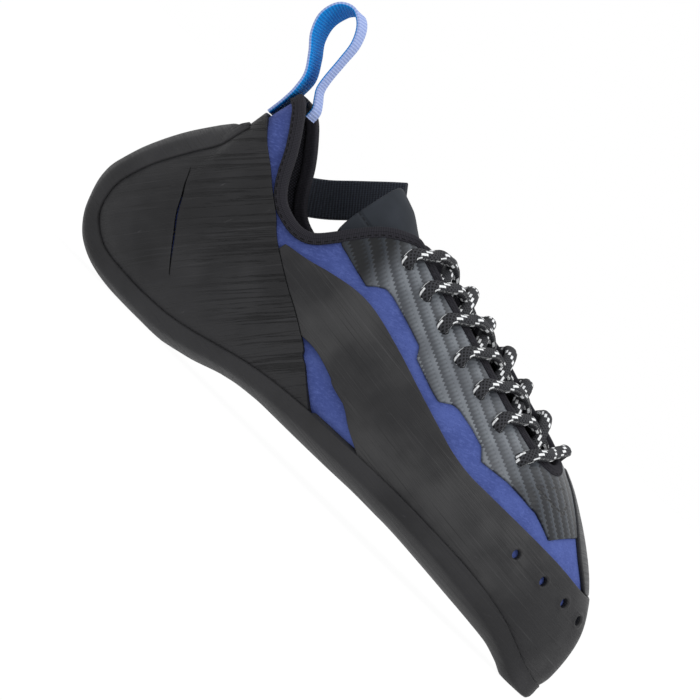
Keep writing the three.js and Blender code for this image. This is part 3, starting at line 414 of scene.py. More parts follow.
def spline(points, step=1.5):
    """Smooth line through points, about `step` apart."""
    p = np.array(points, float)
    ends = np.vstack([2 * p[:1] - p[1:2], p, 2 * p[-1:] - p[-2:-1]])
    dense = []
    t = np.linspace(0, 1, 24, endpoint=False)[:, None]
    for a, b, c, d in zip(ends[:-3], ends[1:-2], ends[2:-1], ends[3:]):
        dense.append(0.5 * (2 * b + (c - a) * t + (2 * a - 5 * b + 4 * c - d) * t ** 2
                            + (3 * b - a - 3 * c + d) * t ** 3))
    dense = np.vstack(dense + [p[-1:]])
    return evenly(dense, step)


def travelled(line):
    """Distance along a line at each of its points."""
    return np.concatenate([[0], np.cumsum(np.linalg.norm(np.diff(line, axis=0), axis=1))])


def evenly(line, step):
    """The same line with points about `step` apart."""
    along = travelled(line)
    count = max(2, int(round(along[-1] / step)) + 1)
    wanted = np.linspace(0, along[-1], count)
    return np.stack([np.interp(wanted, along, line[:, k]) for k in range(line.shape[1])], -1)


def side_line(table, step=1.5):
    p = np.array(table)
    return spline(np.stack([p[:, 0] * LENGTH, p[:, 1] * height_at(p[:, 0])], -1), step)


def top_line(table, step=1.5):
    p = np.array(table)
    return spline(np.stack([p[:, 0] * LENGTH, p[:, 1] * BALL_WIDTH], -1), step)


def inside(points, polygon):
    """Signed distance to a closed polygon, positive inside."""
    a = np.asarray(polygon, float)
    b = np.roll(a, -1, axis=0)
    best = np.full(len(points), 1e18)
    crossings = np.zeros(len(points), int)
    x, y = points[:, 0], points[:, 1]
    for (ax, ay), (bx, by) in zip(a, b):
        dx, dy = bx - ax, by - ay
        t = np.clip(((x - ax) * dx + (y - ay) * dy) / max(dx * dx + dy * dy, 1e-12), 0, 1)
        best = np.minimum(best, (x - ax - t * dx) ** 2 + (y - ay - t * dy) ** 2)
        if ay != by:
            spans = (ay > y) != (by > y)
            crossings += spans & (x < (bx - ax) * (y - ay) / (by - ay) + ax)
    return np.sqrt(best) * np.where(crossings % 2 == 1, 1.0, -1.0)


# Net over the last

SNAP = 0.02  # distance in mm below which a point counts as lying on an outline


class Net:
    """Fine triangle net over the last, with the share and turn of every point and named fields.
    rings, around: points along and round it. reach: lift at which distances are measured."""

    def __init__(self, rings, around, start=0.0, end=1.0, reach=0.0):
        angle = np.linspace(as_angle(start), as_angle(end), rings)
        share = (1 - np.cos(angle)) / 2
        turn = np.linspace(-0.25, 0.75, around + 1)
        self.shape = (rings, around + 1)
        grid_share, grid_turn = np.meshgrid(share, turn, indexing="ij")
        self.share = grid_share.ravel()
        self.turn = grid_turn.ravel()
        index = np.arange(rings * (around + 1)).reshape(self.shape)
        a, b = index[:-1, :-1].ravel(), index[1:, :-1].ravel()
        c, d = index[1:, 1:].ravel(), index[:-1, 1:].ravel()
        self.tri = np.concatenate([np.stack([a, b, c], -1), np.stack([a, c, d], -1)])
        self.fields = {}
        self.base = surface(self.share, self.turn)
        normal = normals(self.share, self.turn)
        lift = reach(normal) if callable(reach) else np.full(len(self.share), reach)
        self.point = self.base + normal * lift[:, None]
        self.measure()

    def measure(self):
        """Metric of the grid, for turning plane distances into distances over the surface."""
        grid = self.point.reshape(*self.shape, 3)
        along, round_ = np.gradient(grid, axis=0), np.gradient(grid, axis=1)
        self.metric = [(along * along).sum(-1), (along * round_).sum(-1), (round_ * round_).sum(-1)]

    def add(self, name, values):
        """Field given as a plane distance, kept as a distance over the surface."""
        grid = values.reshape(self.shape)
        fi, fj = np.gradient(grid, axis=0), np.gradient(grid, axis=1)
        e, f, g = self.metric
        det = np.maximum(e * g - f * f, 1e-6)
        steep = np.sqrt(np.maximum((g * fi * fi - 2 * f * fi * fj + e * fj * fj) / det, 0))
        self.fields[name] = (grid / np.clip(steep, 0.3, 1.0)).ravel()
        return self.fields[name]

    def plain(self, name, values):
        self.fields[name] = np.array(values, float)
        return self.fields[name]

    def extend(self, low, high, t):
        for holder in ("share", "turn"):
            old = getattr(self, holder)
            setattr(self, holder, np.concatenate([old, old[low] * (1 - t) + old[high] * t]))
        for name, old in self.fields.items():
            self.fields[name] = np.concatenate([old, old[low] * (1 - t) + old[high] * t])

    def split(self, chosen, share_of_edge):
        """Divides triangles at the chosen edges. chosen: one flag for each corner's next edge."""
        count = len(self.share)
        a, b = self.tri, np.roll(self.tri, -1, axis=1)
        key = np.minimum(a, b) * count + np.maximum(a, b)
        keys, inverse = np.unique(key[chosen], return_inverse=True)
        low, high = keys // count, keys % count
        self.extend(low, high, share_of_edge(low, high))
        middle = np.full(self.tri.shape, -1)
        middle[chosen] = count + inverse.ravel()
        number = chosen.sum(1)
        pieces = [self.tri[number == 0]]
        for k in range(3):
            v = np.roll(self.tri, -k, axis=1)
            m = np.roll(middle, -k, axis=1)
            one = (number == 1) & (m[:, 0] >= 0)
            pieces.append(np.stack([v[one, 0], m[one, 0], v[one, 2]], -1))
            pieces.append(np.stack([m[one, 0], v[one, 1], v[one, 2]], -1))
            two = (number == 2) & (m[:, 0] < 0)
            pieces.append(np.stack([m[two, 1], v[two, 2], m[two, 2]], -1))
            pieces.append(np.stack([v[two, 0], v[two, 1], m[two, 1]], -1))
            pieces.append(np.stack([v[two, 0], m[two, 1], m[two, 2]], -1))
        three = number == 3
        v, m = self.tri[three], middle[three]
        for k in range(3):
            pieces.append(np.stack([v[:, k], m[:, k], m[:, k - 1]], -1))
        pieces.append(m)
        self.tri = np.concatenate(pieces)
        return count

    def cut(self, name, level=0.0):
        """Lays an edge line along a level of a field."""
        values = self.fields[name]
        values[np.abs(values - level) < SNAP] = level
        side = np.sign(values - level)
        chosen = side[self.tri] * side[np.roll(self.tri, -1, axis=1)] < 0
        if not chosen.any():
            return

        def where(low, high):
            return (values[low] - level) / (values[low] - values[high])

        first = self.split(chosen, where)
        self.fields[name][first:] = level

    def refine(self, centre, radius):
        """Halves the edges round a point."""
        self.refine_where(np.linalg.norm(surface(self.share, self.turn) - centre, axis=-1) < radius)

    def refine_where(self, near):
        """Halves the edges between chosen points."""
        chosen = near[self.tri] & near[np.roll(self.tri, -1, axis=1)]
        self.split(chosen, lambda low, high: np.full(len(low), 0.5))

    def keep(self, name, level=0.0):
        """Drops what lies below a level of a field."""
        self.tri = self.tri[self.fields[name][self.tri].mean(1) > level]

    def trim(self, name, rim):
        """Cuts the net at zero of a field, with lines beside the edge for a rounded rim."""
        for part in RIM_LINES:
            self.cut(name, rim * part)
        self.keep(name)

    def shaped(self, name, rim, depth):
        """Trims and welds the net. Returns how much its rounded rim lowers the surface."""
        self.trim(name, rim)
        self.weld()
        return rounded(self.fields[name], rim, depth)

    def weld(self):
        """Joins the net along its seam and drops what isn't used."""
        point = surface(self.share, self.turn)
        used = np.unique(self.tri)
        _, first, inverse = np.unique(
            np.round(point[used], 3), axis=0, return_index=True, return_inverse=True)
        remap = np.full(len(self.share), -1)
        remap[used] = inverse.ravel()
        chosen = used[first]
        self.share = self.share[chosen]
        self.turn = self.turn[chosen]
        self.fields = {name: values[chosen] for name, values in self.fields.items()}
        tri = remap[self.tri]
        good = (tri[:, 0] != tri[:, 1]) & (tri[:, 1] != tri[:, 2]) & (tri[:, 2] != tri[:, 0])
        self.tri = tri[good]


RIM_LINES = (0.0, 0.12, 0.35, 0.65, 1.0)


def boundary(tri):
    """Directed edges that have no partner."""
    edges = np.concatenate([tri[:, [0, 1]], tri[:, [1, 2]], tri[:, [2, 0]]])
    top = edges.max() + 1
    forward = edges[:, 0] * top + edges[:, 1]
    backward = edges[:, 1] * top + edges[:, 0]
    return edges[~np.isin(forward, backward)]


def rounded(field, rim, depth):
    """How much a rounded rim lowers the surface beside an edge."""
    t = np.clip(field / rim, 0.0, 1.0)
    return depth * (1 - np.sqrt(np.maximum(1 - (1 - t) ** 2, 0)))


# Meshes

def put_in_scene(made):
    bpy.context.scene.collection.objects.link(made)


def mesh_object(name, points, faces, look, faces_look=None, smooth_angle=50, uv=None, marks=None):
    """Mesh from points in the part's own millimetres. marks: named numbers at the points."""
    mesh = bpy.data.meshes.new(name)
    made = np.asarray(points, float) * MM
    made[:, 0] -= REST_X * MM
    made[:, 2] = np.maximum(made[:, 2], 0.0)
    faces = np.asarray(faces)
    size = faces.shape[1]
    mesh.vertices.add(len(made))
    mesh.vertices.foreach_set("co", made.astype(np.float32).ravel())
    mesh.loops.add(faces.size)
    mesh.loops.foreach_set("vertex_index", faces.astype(np.int32).ravel())
    mesh.polygons.add(len(faces))
    mesh.polygons.foreach_set("loop_start", np.arange(0, faces.size, size, dtype=np.int32))
    mesh.polygons.foreach_set("use_smooth", np.ones(len(faces), bool))
    if uv is not None:
        layer = mesh.uv_layers.new(name="mm")
        layer.data.foreach_set("uv", np.asarray(uv, np.float32)[faces.ravel()].ravel())
    for mark, values in (marks or {}).items():
        attribute = mesh.attributes.new(mark, "FLOAT", "POINT")
        attribute.data.foreach_set("value", np.asarray(values, np.float32))
    for material in look if isinstance(look, (list, tuple)) else [look]:
        mesh.materials.append(material)
    if faces_look is not None:
        mesh.polygons.foreach_set("material_index", np.asarray(faces_look, np.int32))
    mesh.update(calc_edges=True)
    mesh.validate()
    mesh.set_sharp_from_angle(angle=math.radians(smooth_angle))
    made_object = bpy.data.objects.new(name, mesh)
    put_in_scene(made_object)
    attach(made_object, "root")
    return made_object


GIRTH = 240.0  # about the length in mm once round the last


def girth(net):
    """Place of every point in mm along the shoe and round it, for the materials."""
    return np.stack([net.share * LAST_LENGTH, net.turn * GIRTH], -1)


def shell(name, net, outer, inner, look, inner_look=None, marks=()):
    """Closed shell between two lifts over a trimmed and welded net. marks: fields for the material."""
    point = surface(net.share, net.turn)
    normal = normals(net.share, net.turn)
    swell = relief(point)
    outside = point + normal * (outer + swell)[:, None]
    within = point + normal * (inner + swell)[:, None]
    count = len(point)
    rim = boundary(net.tri)
    a, b = rim[:, 0], rim[:, 1]
    walls = np.concatenate([np.stack([b, a, a + count], -1), np.stack([b, a + count, b + count], -1)])
    faces = np.concatenate([net.tri, net.tri[:, ::-1] + count, walls])
    uv = np.concatenate([girth(net), girth(net)])
    fields = {mark: np.tile(net.fields[mark], 2) for mark in marks}
    points = np.concatenate([outside, within])
    if inner_look is None:
        return mesh_object(name, points, faces, look, uv=uv, marks=fields)
    looks = np.concatenate([np.zeros(len(net.tri)), np.ones(len(net.tri) + len(walls))])
    return mesh_object(name, points, faces, [look, inner_look], looks, uv=uv, marks=fields)


def relief(point):
    """Soft troughs and swells, in mm, shared by all layers so that they stay apart."""
    x, y, z = point[:, 0], point[:, 1], point[:, 2]
    total = WAVE_DEPTH * np.sin(x / 11.0 + z / 17.0) * np.sin(y / 13.0 - z / 9.0 + 0.7)
    for from_at, from_up, to_at, to_up, deep, wide, side in CREASES:
        ax, az = from_at * LENGTH, from_up * float(height_at(from_at))
        dx, dz = to_at * LENGTH - ax, to_up * float(height_at(to_at)) - az
        length = math.hypot(dx, dz)
        t = ((x - ax) * dx + (z - az) * dz) / length ** 2
        across = np.abs((x - ax) * dz - (z - az) * dx) / length
        beyond = np.maximum(np.maximum(-t, t - 1), 0) * length
        fade = np.exp(-(across / (wide * 0.55)) ** 2 - (beyond / (wide * 0.8)) ** 2)
        onto_side = smooth((np.abs(y) - SIDE_START) / SIDE_FADE)
        if side:
            onto_side = onto_side * (y * side > 0)
        total = total - deep * fade * onto_side
    return total * smooth((z - FLOOR_START) / FLOOR_FADE)


# Regions, as in the part's source

COLLAR_LINE = side_line(COLLAR_EDGE)
THROAT_LINE = top_line(THROAT)
HEEL_RAND_LINE = side_line(HEEL_RAND_EDGE)
SEAM_LINE = side_line(SOLE_SEAM)
RAND_TOP_LINE = side_line(RAND_TOP)
ARCH_LINE = side_line(ARCH_WINDOW)
SLIT_LINE = side_line(SLIT, 0.8)


def side_field(net, polygon):
    return inside(net.point[:, [0, 2]], polygon)


def top_field(net, polygon):
    return inside(net.point[:, [0, 1]], polygon)


def upper_half(net, values):
    """The values on the upper half of the last, and far outside on its lower half."""
    return np.where((net.turn > -0.01) & (net.turn < 0.51), values, -FAR)


def under_half(net, values):
    """The same the other way round."""
    return np.where((net.turn < 0.01) | (net.turn > 0.49), values, -FAR)


def way_in(net):
    """Distance into the opening of collar and throat, positive inside it."""
    start, end = COLLAR_LINE[0], COLLAR_LINE[-1]
    mouth = [(-FAR, FAR), (-FAR, start[1]), *COLLAR_LINE, (end[0], FAR)]
    mouth_field = net.add("mouth", inside(net.base[:, [0, 2]], mouth))
    slot = upper_half(net, net.add("slot", inside(net.base[:, [0, 1]], THROAT_LINE)))
    return np.maximum(mouth_field, slot)


def heel_region(net):
    start, end = HEEL_RAND_LINE[0], HEEL_RAND_LINE[-1]
    polygon = [(-FAR, start[1]), *HEEL_RAND_LINE, (end[0], -FAR), (-FAR, -FAR)]
    return net.add("heel", side_field(net, polygon))


def toe_region(net):
    """Side rubber: below its top line, without the arch window, in front of the heel rubber."""
    top_start, top_end = RAND_TOP_LINE[0], RAND_TOP_LINE[-1]
    body = net.add("below_top", side_field(
        net, [(top_start[0], -FAR), *RAND_TOP_LINE, (top_end[0], -FAR)]))
    arch_end = ARCH_LINE[-1]
    window = net.add("window", side_field(
        net, [(0, ARCH_LINE[0][1]), *ARCH_LINE, (arch_end[0], -FAR), (0, -FAR)]))
    return np.minimum(np.minimum(body, -window), -heel_region(net) - SEAM_GAP)


def sole_region(net):
    end = SEAM_LINE[-1]
    polygon = [(-FAR, SEAM_LINE[0][1]), *SEAM_LINE, (end[0], -FAR), (-FAR, -FAR)]
    return net.add("sole", side_field(net, polygon))


def patch_region(net):
    edge = top_line(TOE_PATCH_EDGE)
    plan = net.add("patch_plan", top_field(
        net, [*edge, (FAR, edge[-1][1]), (FAR, FAR), (edge[0][0], FAR)]))
    start, end = RAND_TOP_LINE[0], RAND_TOP_LINE[-1]
    over = net.add("over_rand", side_field(
        net, [(start[0], FAR), *RAND_TOP_LINE, (end[0], FAR)]))
    return np.minimum(upper_half(net, plan), over - GAP)


def foot_plan(margin, start, end):
    """Outline of the last seen from above, drawn in by a margin, between two shares."""
    shares = np.linspace(start, end, 60)
    s = section(shares)
    outer = np.stack([s["x"], s["outer"] + margin], -1)
    inner = np.stack([s["x"], s["inner"] - margin], -1)
    return np.concatenate([outer, inner[::-1]])


def eyelet(row, outer_side):
    """Share and turn of an eyelet's middle."""
    at = FIRST_EYELET + row * (LAST_EYELET - FIRST_EYELET) / (EYELET_ROWS - 1)
    up = (OUTER_EYELET_UP if outer_side else INNER_EYELET_UP)[row]
    share = last_share(at * LENGTH)
    return float(share), float(turn_at(share, up * height_at(at), outer_side))


EYELETS = [eyelet(row, side) for row in range(EYELET_ROWS) for side in (True, False)]


def vent(place):
    at, up = place
    share = last_share(at * LENGTH)
    return float(share), float(turn_at(share, up * height_at(at), True))


VENT_PLACES = [vent(place) for place in VENTS]


HOLE_REFINED = (2.2, 1.6)  # parts of a hole's radius inside which the net is refined


def punched(net, places, radius):
    """Refines the net at holes and returns the distance from them."""
    spots = [surface(share, turn) for share, turn in places]
    for spot in spots:
        for part in HOLE_REFINED:
            net.refine(spot, radius * part)
    point = surface(net.share, net.turn)
    return np.min([np.linalg.norm(point - spot, axis=-1) - radius for spot in spots], axis=0)


# Materials. Lengths in mm, turns in degrees, colours in steps of 0 to 255.

LOOP_FACE = 15.2  # distance round the webbing's section at which one face ends
TWILL_TURN = 14  # degrees between the twill's bands and the shoe's length
TWILL_PITCH = 5.2  # from one band to the next
TWILL_CELL = 1.5  # from one tooth of a band's edge to the next
TWILL_TOOTH = 0.8  # depth of the bands' jagged edges
FLECK_PITCH = 11.5  # length of cord from one group of flecks to the next
FLECK_ROWS = 10  # strands of the braid round the cord
FLECK_START = 6.7  # place of the first group along each strand
FLECK_SHARE = (0.04, 0.29)  # part of each FLECK_PITCH that is white

# Three rows of stitches on the overlay's outer side. x from the frame's origin, z, in mm.
STITCHED_CORNER = [(155.5, 59.6), (168.0, 58.6), (162.5, 67.0), (155.5, 59.6)]


def linear(*rgb):
    """Scene colour of an sRGB colour in 0 to 255."""
    c = np.array(rgb) / 255
    return tuple(np.where(c <= 0.04045, c / 12.92, ((c + 0.055) / 1.055) ** 2.4)) + (1.0,)


class Look:
    """Small helper that builds a node material."""

    def __init__(self, name, colour, roughness):
        self.material = bpy.data.materials.new(name)
        self.material.use_nodes = True
        self.tree = self.material.node_tree
        self.shader = self.tree.nodes["Principled BSDF"]
        self.shader.inputs["Base Color"].default_value = colour
        self.shader.inputs["Roughness"].default_value = roughness

    def link(self, a, b):
        self.tree.links.new(a, b)

    def place(self):
        """Place on the object in mm."""
        coordinates = self.tree.nodes.new("ShaderNodeTexCoord")
        scaled = self.tree.nodes.new("ShaderNodeVectorMath")
        scaled.operation = "SCALE"
        scaled.inputs["Scale"].default_value = 1 / MM
        self.link(coordinates.outputs["Object"], scaled.inputs[0])
        return scaled.outputs[0]

    def uv(self):
        made = self.tree.nodes.new("ShaderNodeUVMap")
        made.uv_map = "mm"
        return made.outputs[0]

    def mapped(self, vector, scale=(1, 1, 1), turn=(0, 0, 0)):
        made = self.tree.nodes.new("ShaderNodeMapping")
        made.inputs["Scale"].default_value = scale
        made.inputs["Rotation"].default_value = [math.radians(v) for v in turn]
        self.link(vector, made.inputs["Vector"])
        return made.outputs[0]

    def noise(self, vector, scale=1.0, detail=3.0, roughness=0.55, distortion=0.0):
        made = self.tree.nodes.new("ShaderNodeTexNoise")
        made.inputs["Scale"].default_value = scale
        made.inputs["Detail"].default_value = detail
        made.inputs["Roughness"].default_value = roughness
        made.inputs["Distortion"].default_value = distortion
        self.link(vector, made.inputs["Vector"])
        return made.outputs["Fac"]

    def mark(self, name):
        """Number stored at the points of the mesh."""
        made = self.tree.nodes.new("ShaderNodeAttribute")
        made.attribute_name = name
        return made.outputs["Fac"]

    def ripple(self, value, period):
        """Wave between 0 and 1 with a period in mm."""
        turned = self.math("SINE", self.math("MULTIPLY", value, 2 * math.pi / period))
        return self.math("MULTIPLY_ADD", turned, 0.5, 0.5)

    def part(self, value, period):
        """Share of the present period that has passed."""
        return self.math("FRACT", self.math("DIVIDE", value, period))

    def band(self, value, low, high, soft):
        """One between two values, zero outside."""
        risen = self.span(value, low - soft, low + soft)
        return self.times(risen, self.span(value, high - soft, high + soft, 1.0, 0.0))

    def drawn(self, vector, turn, along, across):
        """Coordinates stretched along a direction of the side view. along, across: scale."""
        return self.mapped(self.mapped(vector, turn=(0, turn, 0)), scale=(along, along, across))

    def set(self, name, value):
        """Fixed value of one of the shader's inputs."""
        self.shader.inputs[name].default_value = value

    def times(self, a, b):
        return self.math("MULTIPLY", a, b)

    def math(self, operation, a, b=None, c=None):
        made = self.tree.nodes.new("ShaderNodeMath")
        made.operation = operation
        for socket, value in zip(made.inputs, (a, b, c)):
            if value is None:
                continue
            if isinstance(value, (int, float)):
                socket.default_value = value
            else:
                self.link(value, socket)
        return made.outputs[0]

    def span(self, value, low, high, first=0.0, second=1.0):
        """Soft step from the first number at low to the second at high."""
        made = self.tree.nodes.new("ShaderNodeMapRange")
        made.interpolation_type = "SMOOTHSTEP"
        ends = {"From Min": low, "From Max": high, "To Min": first, "To Max": second}
        for name, number in ends.items():
            made.inputs[name].default_value = number
        self.link(value, made.inputs["Value"])
        return made.outputs[0]

    def mix(self, amount, first, second):
        """Colour mix; colours are sockets or fixed values."""
        made = self.tree.nodes.new("ShaderNodeMix")
        made.data_type = "RGBA"
        if isinstance(amount, (int, float)):
            made.inputs["Factor"].default_value = amount
        else:
            self.link(amount, made.inputs["Factor"])
        for key, value in (("A", first), ("B", second)):
            socket = [s for s in made.inputs if s.name == key and s.type == "RGBA"][0]
            if isinstance(value, tuple):
                socket.default_value = value
            else:
                self.link(value, socket)
        return [s for s in made.outputs if s.type == "RGBA"][0]

    def split(self, vector):
        made = self.tree.nodes.new("ShaderNodeSeparateXYZ")
        self.link(vector, made.inputs[0])
        return made.outputs

    def colour(self, socket):
        self.link(socket, self.shader.inputs["Base Color"])

    def rough(self, socket):
        self.link(socket, self.shader.inputs["Roughness"])

    def bump(self, height, depth, strength=1.0, over=None):
        """Bump of a depth in mm, on top of another bump."""
        made = self.tree.nodes.new("ShaderNodeBump")
        made.inputs["Strength"].default_value = strength
        made.inputs["Distance"].default_value = depth * MM
        self.link(height, made.inputs["Height"])
        if over is not None:
            self.link(over, made.inputs["Normal"])
        self.link(made.outputs[0], self.shader.inputs["Normal"])
        return made.outputs[0]


def suede():
    """Brushed blue leather with a short nap, and painted shade under the collar."""
    look = Look("suede", linear(70, 84, 160), 0.95)
    place = look.place()
    fine = look.noise(place, 1.6, 5.0, 0.7)
    nap = look.noise(look.drawn(place, 20, 0.5, 1.4), 1.0, 4.0, 0.65)
    broad = look.noise(place, 0.07, 3.0)
    x = look.split(place)["X"]
    base = look.mix(look.span(broad, 0.35, 0.65), linear(60, 73, 128), linear(70, 84, 142))
    # painted shade under the collar: the suede darkens from x = 62 mm back towards the heel
    shaded = look.mix(look.span(x, 8.0, 62.0, 0.55, 0.0), base, linear(42, 52, 100))
    brushed = look.mix(look.span(nap, 0.42, 0.75, 0.0, 0.7), shaded, linear(82, 96, 154))
    look.colour(look.mix(look.span(fine, 0.28, 0.5, 0.7, 0.0), brushed, linear(52, 63, 115)))
    look.bump(fine, 0.16, 0.6)
    look.set("Sheen Weight", 0.15)
    look.set("Sheen Roughness", 0.45)
    look.set("Sheen Tint", linear(140, 150, 200))
    look.set("Specular IOR Level", 0.1)
    return look.material


def cloth(name, colour, thread, roughness=0.9):
    """Plain weave with threads along and across."""
    look = Look(name, linear(*colour), roughness)
    x, y, z = look.split(look.place())
    weft = look.ripple(look.math("ADD", x, y), thread)
    warp = look.ripple(z, thread)
    woven = look.times(weft, warp)
    look.colour(look.mix(woven, linear(*(c * 0.6 for c in colour)), linear(*(c * 1.25 for c in colour))))
    look.bump(woven, 0.12, 0.5)
    look.set("Specular IOR Level", 0.15)
    return look.material


def rubber(name, lines_turn, light, dark, gloss, line_highlight=14, wrinkles=False, dust=False):
    """Dark rubber with fine drawn lines, lighter on them as a painted highlight and darker between them
    as painted shade.
    lines_turn: degrees of the lines in the side view. line_highlight: how much lighter the painted
    highlight makes the lines than the rubber, in steps of 0 to 255.
    wrinkles: folds near the piece's front edge, darkened with painted shade. dust: light dots along the
    sole's seam."""
    look = Look(name, linear(*light), gloss)
    place = look.place()
    x = look.split(place)["X"]
    lines = look.noise(look.drawn(place, lines_turn, 0.022, 2.0), 1.0, 5.0, 0.7, 0.3)
    threads = look.noise(look.drawn(place, lines_turn, 0.05, 4.2), 1.0, 3.0, 0.6)
    broad = look.noise(place, 0.028, 3.0)
    grain = look.noise(place, 2.6, 3.0, 0.6)
    base = look.mix(look.span(broad, 0.36, 0.64), linear(*dark), linear(*light))
    # painted highlight: the raised lines are lighter than the rubber
    line_highlighted = look.mix(look.span(lines, 0.54, 0.78), base, linear(*(c + line_highlight for c in light)))
    # painted shade: the rubber is darker between the lines, in their grooves
    colour = look.mix(look.span(lines, 0.28, 0.46, 0.85, 0.0), line_highlighted, linear(*(c * 0.55 for c in dark)))
    height = look.math("ADD", look.times(lines, 0.75), look.times(threads, 0.25))
    bumped = look.bump(height, 0.42, 0.9)
    if wrinkles:
        near = look.span(look.mark("front"), 2.0, 46.0, 1.0, 0.0)
        folds = look.noise(look.drawn(place, lines_turn - 3, 0.022, 0.9), 1.0, 4.0, 0.62, 0.35)
        fold = look.times(look.span(folds, 0.53, 0.63), near)
        # painted shade: the folds are darkened where they dent the rubber
        colour = look.mix(look.times(fold, 0.75), colour, linear(14, 14, 16))
        bumped = look.bump(look.times(fold, -1.0), 0.5, 0.9, bumped)
        edge = look.band(look.mark("front"), -1.0, 0.2, 0.1)
        colour = look.mix(edge, colour, linear(18, 18, 21))
    if dust:
        speck = look.span(look.noise(place, 1.1, 2.0, 0.5), 0.6, 0.68)
        line = look.band(look.mark("seam"), -1.6, 0.2, 0.35)
        reach = look.band(x, 92.0, 146.0, 16.0)
        dots = look.times(look.times(speck, line), reach)
        colour = look.mix(look.times(dots, 0.55), colour, linear(128, 128, 126))
    scratched = look.noise(look.drawn(place, lines_turn + 20, 0.08, 0.5), 1.0, 5.0, 0.7)
    scuff = look.span(scratched, 0.66, 0.76)
    look.colour(look.mix(look.times(scuff, 0.35), colour, linear(84, 84, 86)))
    look.rough(look.span(lines, 0.3, 0.7, gloss - 0.06, gloss + 0.12))
    look.bump(grain, 0.05, 0.4, bumped)
    look.set("Specular IOR Level", 0.24)
    return look.material


def stitched_corner(look, x, z):
    """Rows of stitches along the lines of STITCHED_CORNER, one where a stitch lies."""
    stitches = None
    for (ax, az), (bx, bz) in zip(STITCHED_CORNER, STITCHED_CORNER[1:]):
        length = math.hypot(bx - ax, bz - az)
        dx, dz = (bx - ax) / length, (bz - az) / length
        by_x = look.math("MULTIPLY_ADD", x, dx, -ax * dx - az * dz)
        along = look.math("ADD", by_x, look.times(z, dz))
        by_x = look.math("MULTIPLY_ADD", x, dz, az * dx - ax * dz)
        across = look.math("ADD", by_x, look.times(z, -dx))
        row = look.times(look.band(across, -0.32, 0.32, 0.12), look.band(along, 0.0, length, 0.3))
        row = look.times(row, look.band(look.part(along, 1.9), 0.05, 0.78, 0.05))
        stitches = row if stitches is None else look.math("MAXIMUM", stitches, row)
    return stitches


def overlay():
    """Semi-gloss printed panel with a twill of bands with jagged edges and a stitched corner, and
    painted shade near the collar.
    """
    look = Look("overlay", linear(90, 95, 100), 0.45)
    x, y, z = look.split(look.place())
    u, v, _ = look.split(look.mapped(look.uv(), turn=(0, 0, TWILL_TURN)))
    jagged = look.math("MULTIPLY_ADD", look.ripple(u, TWILL_CELL), TWILL_TOOTH, v)
    ramp = look.part(jagged, TWILL_PITCH)
    edge = look.span(ramp, 0.86, 1.0, 1.0, 0.0)
    against = look.math("MULTIPLY_ADD", look.ripple(u, TWILL_CELL), -TWILL_TOOTH, v)
    seam = look.band(look.part(against, TWILL_PITCH), 0.42, 0.5, 0.06)
    cells = look.times(look.math("SUBTRACT", ramp, look.times(seam, 0.18)), edge)
    fold = look.span(look.noise(look.place(), 0.08, 3.0), 0.3, 0.7)
    light = look.mix(fold, linear(88, 92, 98), linear(108, 113, 119))
    colour = look.mix(look.span(cells, 0.0, 0.8), linear(56, 59, 64), light)
    # painted shade: a darker copy of the twill where the panel runs under the collar, behind x = 54 to
    # 66 mm
    collar_shade = look.mix(look.span(cells, 0.35, 0.9), linear(8, 10, 14), linear(34, 39, 46))
    colour = look.mix(look.span(x, 54.0, 66.0, 1.0, 0.0), colour, collar_shade)
    near_toe = look.mix(look.span(cells, 0.35, 0.8), linear(20, 23, 28), linear(54, 59, 66))
    colour = look.mix(look.span(x, 140.0, 158.0), colour, near_toe)
    outer_side = look.span(y, -4.0, -1.0, 1.0, 0.0)
    stitches = look.times(stitched_corner(look, x, z), outer_side)
    look.colour(look.mix(stitches, colour, linear(16, 17, 20)))
    look.rough(look.span(x, 110.0, 160.0, 0.52, 0.38))
    pressed = look.bump(cells, 0.3, 0.8)
    look.bump(look.times(stitches, -1.0), 0.3, 0.8, pressed)
    look.set("Specular IOR Level", 0.25)
    look.set("Coat Weight", 0.05)
    look.set("Coat Roughness", 0.4)
    return look.material


def binding_tape():
    """Fine ribbed tape with a row of stitches near its outer edge."""
    look = Look("binding_tape", linear(42, 40, 43), 0.9)
    u, v, _ = look.split(look.uv())
    ribs = look.ripple(u, 0.62)
    rows = look.ripple(v, 0.55)
    woven = look.math("MULTIPLY_ADD", ribs, 0.6, look.times(rows, 0.4))
    colour = look.mix(woven, linear(18, 18, 22), linear(46, 45, 51))
    stitch = look.times(look.band(look.part(u, 2.6), 0.16, 0.72, 0.06), look.band(v, 1.55, 1.95, 0.12))
    look.colour(look.mix(stitch, colour, linear(14, 14, 16)))
    cloth_bump = look.bump(woven, 0.16, 0.7)
    look.bump(look.times(stitch, -1.0), 0.3, 0.9, cloth_bump)
    look.set("Specular IOR Level", 0.15)
    return look.material


def tongue_cloth():
    """Smooth slate cloth over foam, with one stitched seam near the tip."""
    look = Look("tongue_cloth", linear(55, 60, 66), 0.8)
    place = look.place()
    x, _, z = look.split(place)
    grain = look.noise(place, 4.0, 3.0, 0.6)
    broad = look.noise(place, 0.08, 2.0)
    base = look.mix(look.span(broad, 0.35, 0.65), linear(30, 34, 40), linear(42, 46, 53))
    line = look.math("SUBTRACT", look.math("MULTIPLY_ADD", x, 0.16, z), 91.4)
    seam = look.band(line, -0.3, 0.3, 0.2)
    dash = look.times(seam, look.band(look.part(x, 2.4), 0.1, 0.75, 0.05))
    plain = look.mix(grain, base, linear(36, 40, 46))
    look.colour(look.mix(look.times(dash, 0.8), plain, linear(14, 16, 20)))
    soft = look.bump(grain, 0.06, 0.5)
    look.bump(look.times(look.band(line, -0.8, 0.8, 0.5), -1.0), 0.4, 0.8, soft)
    look.set("Specular IOR Level", 0.2)
    return look.material


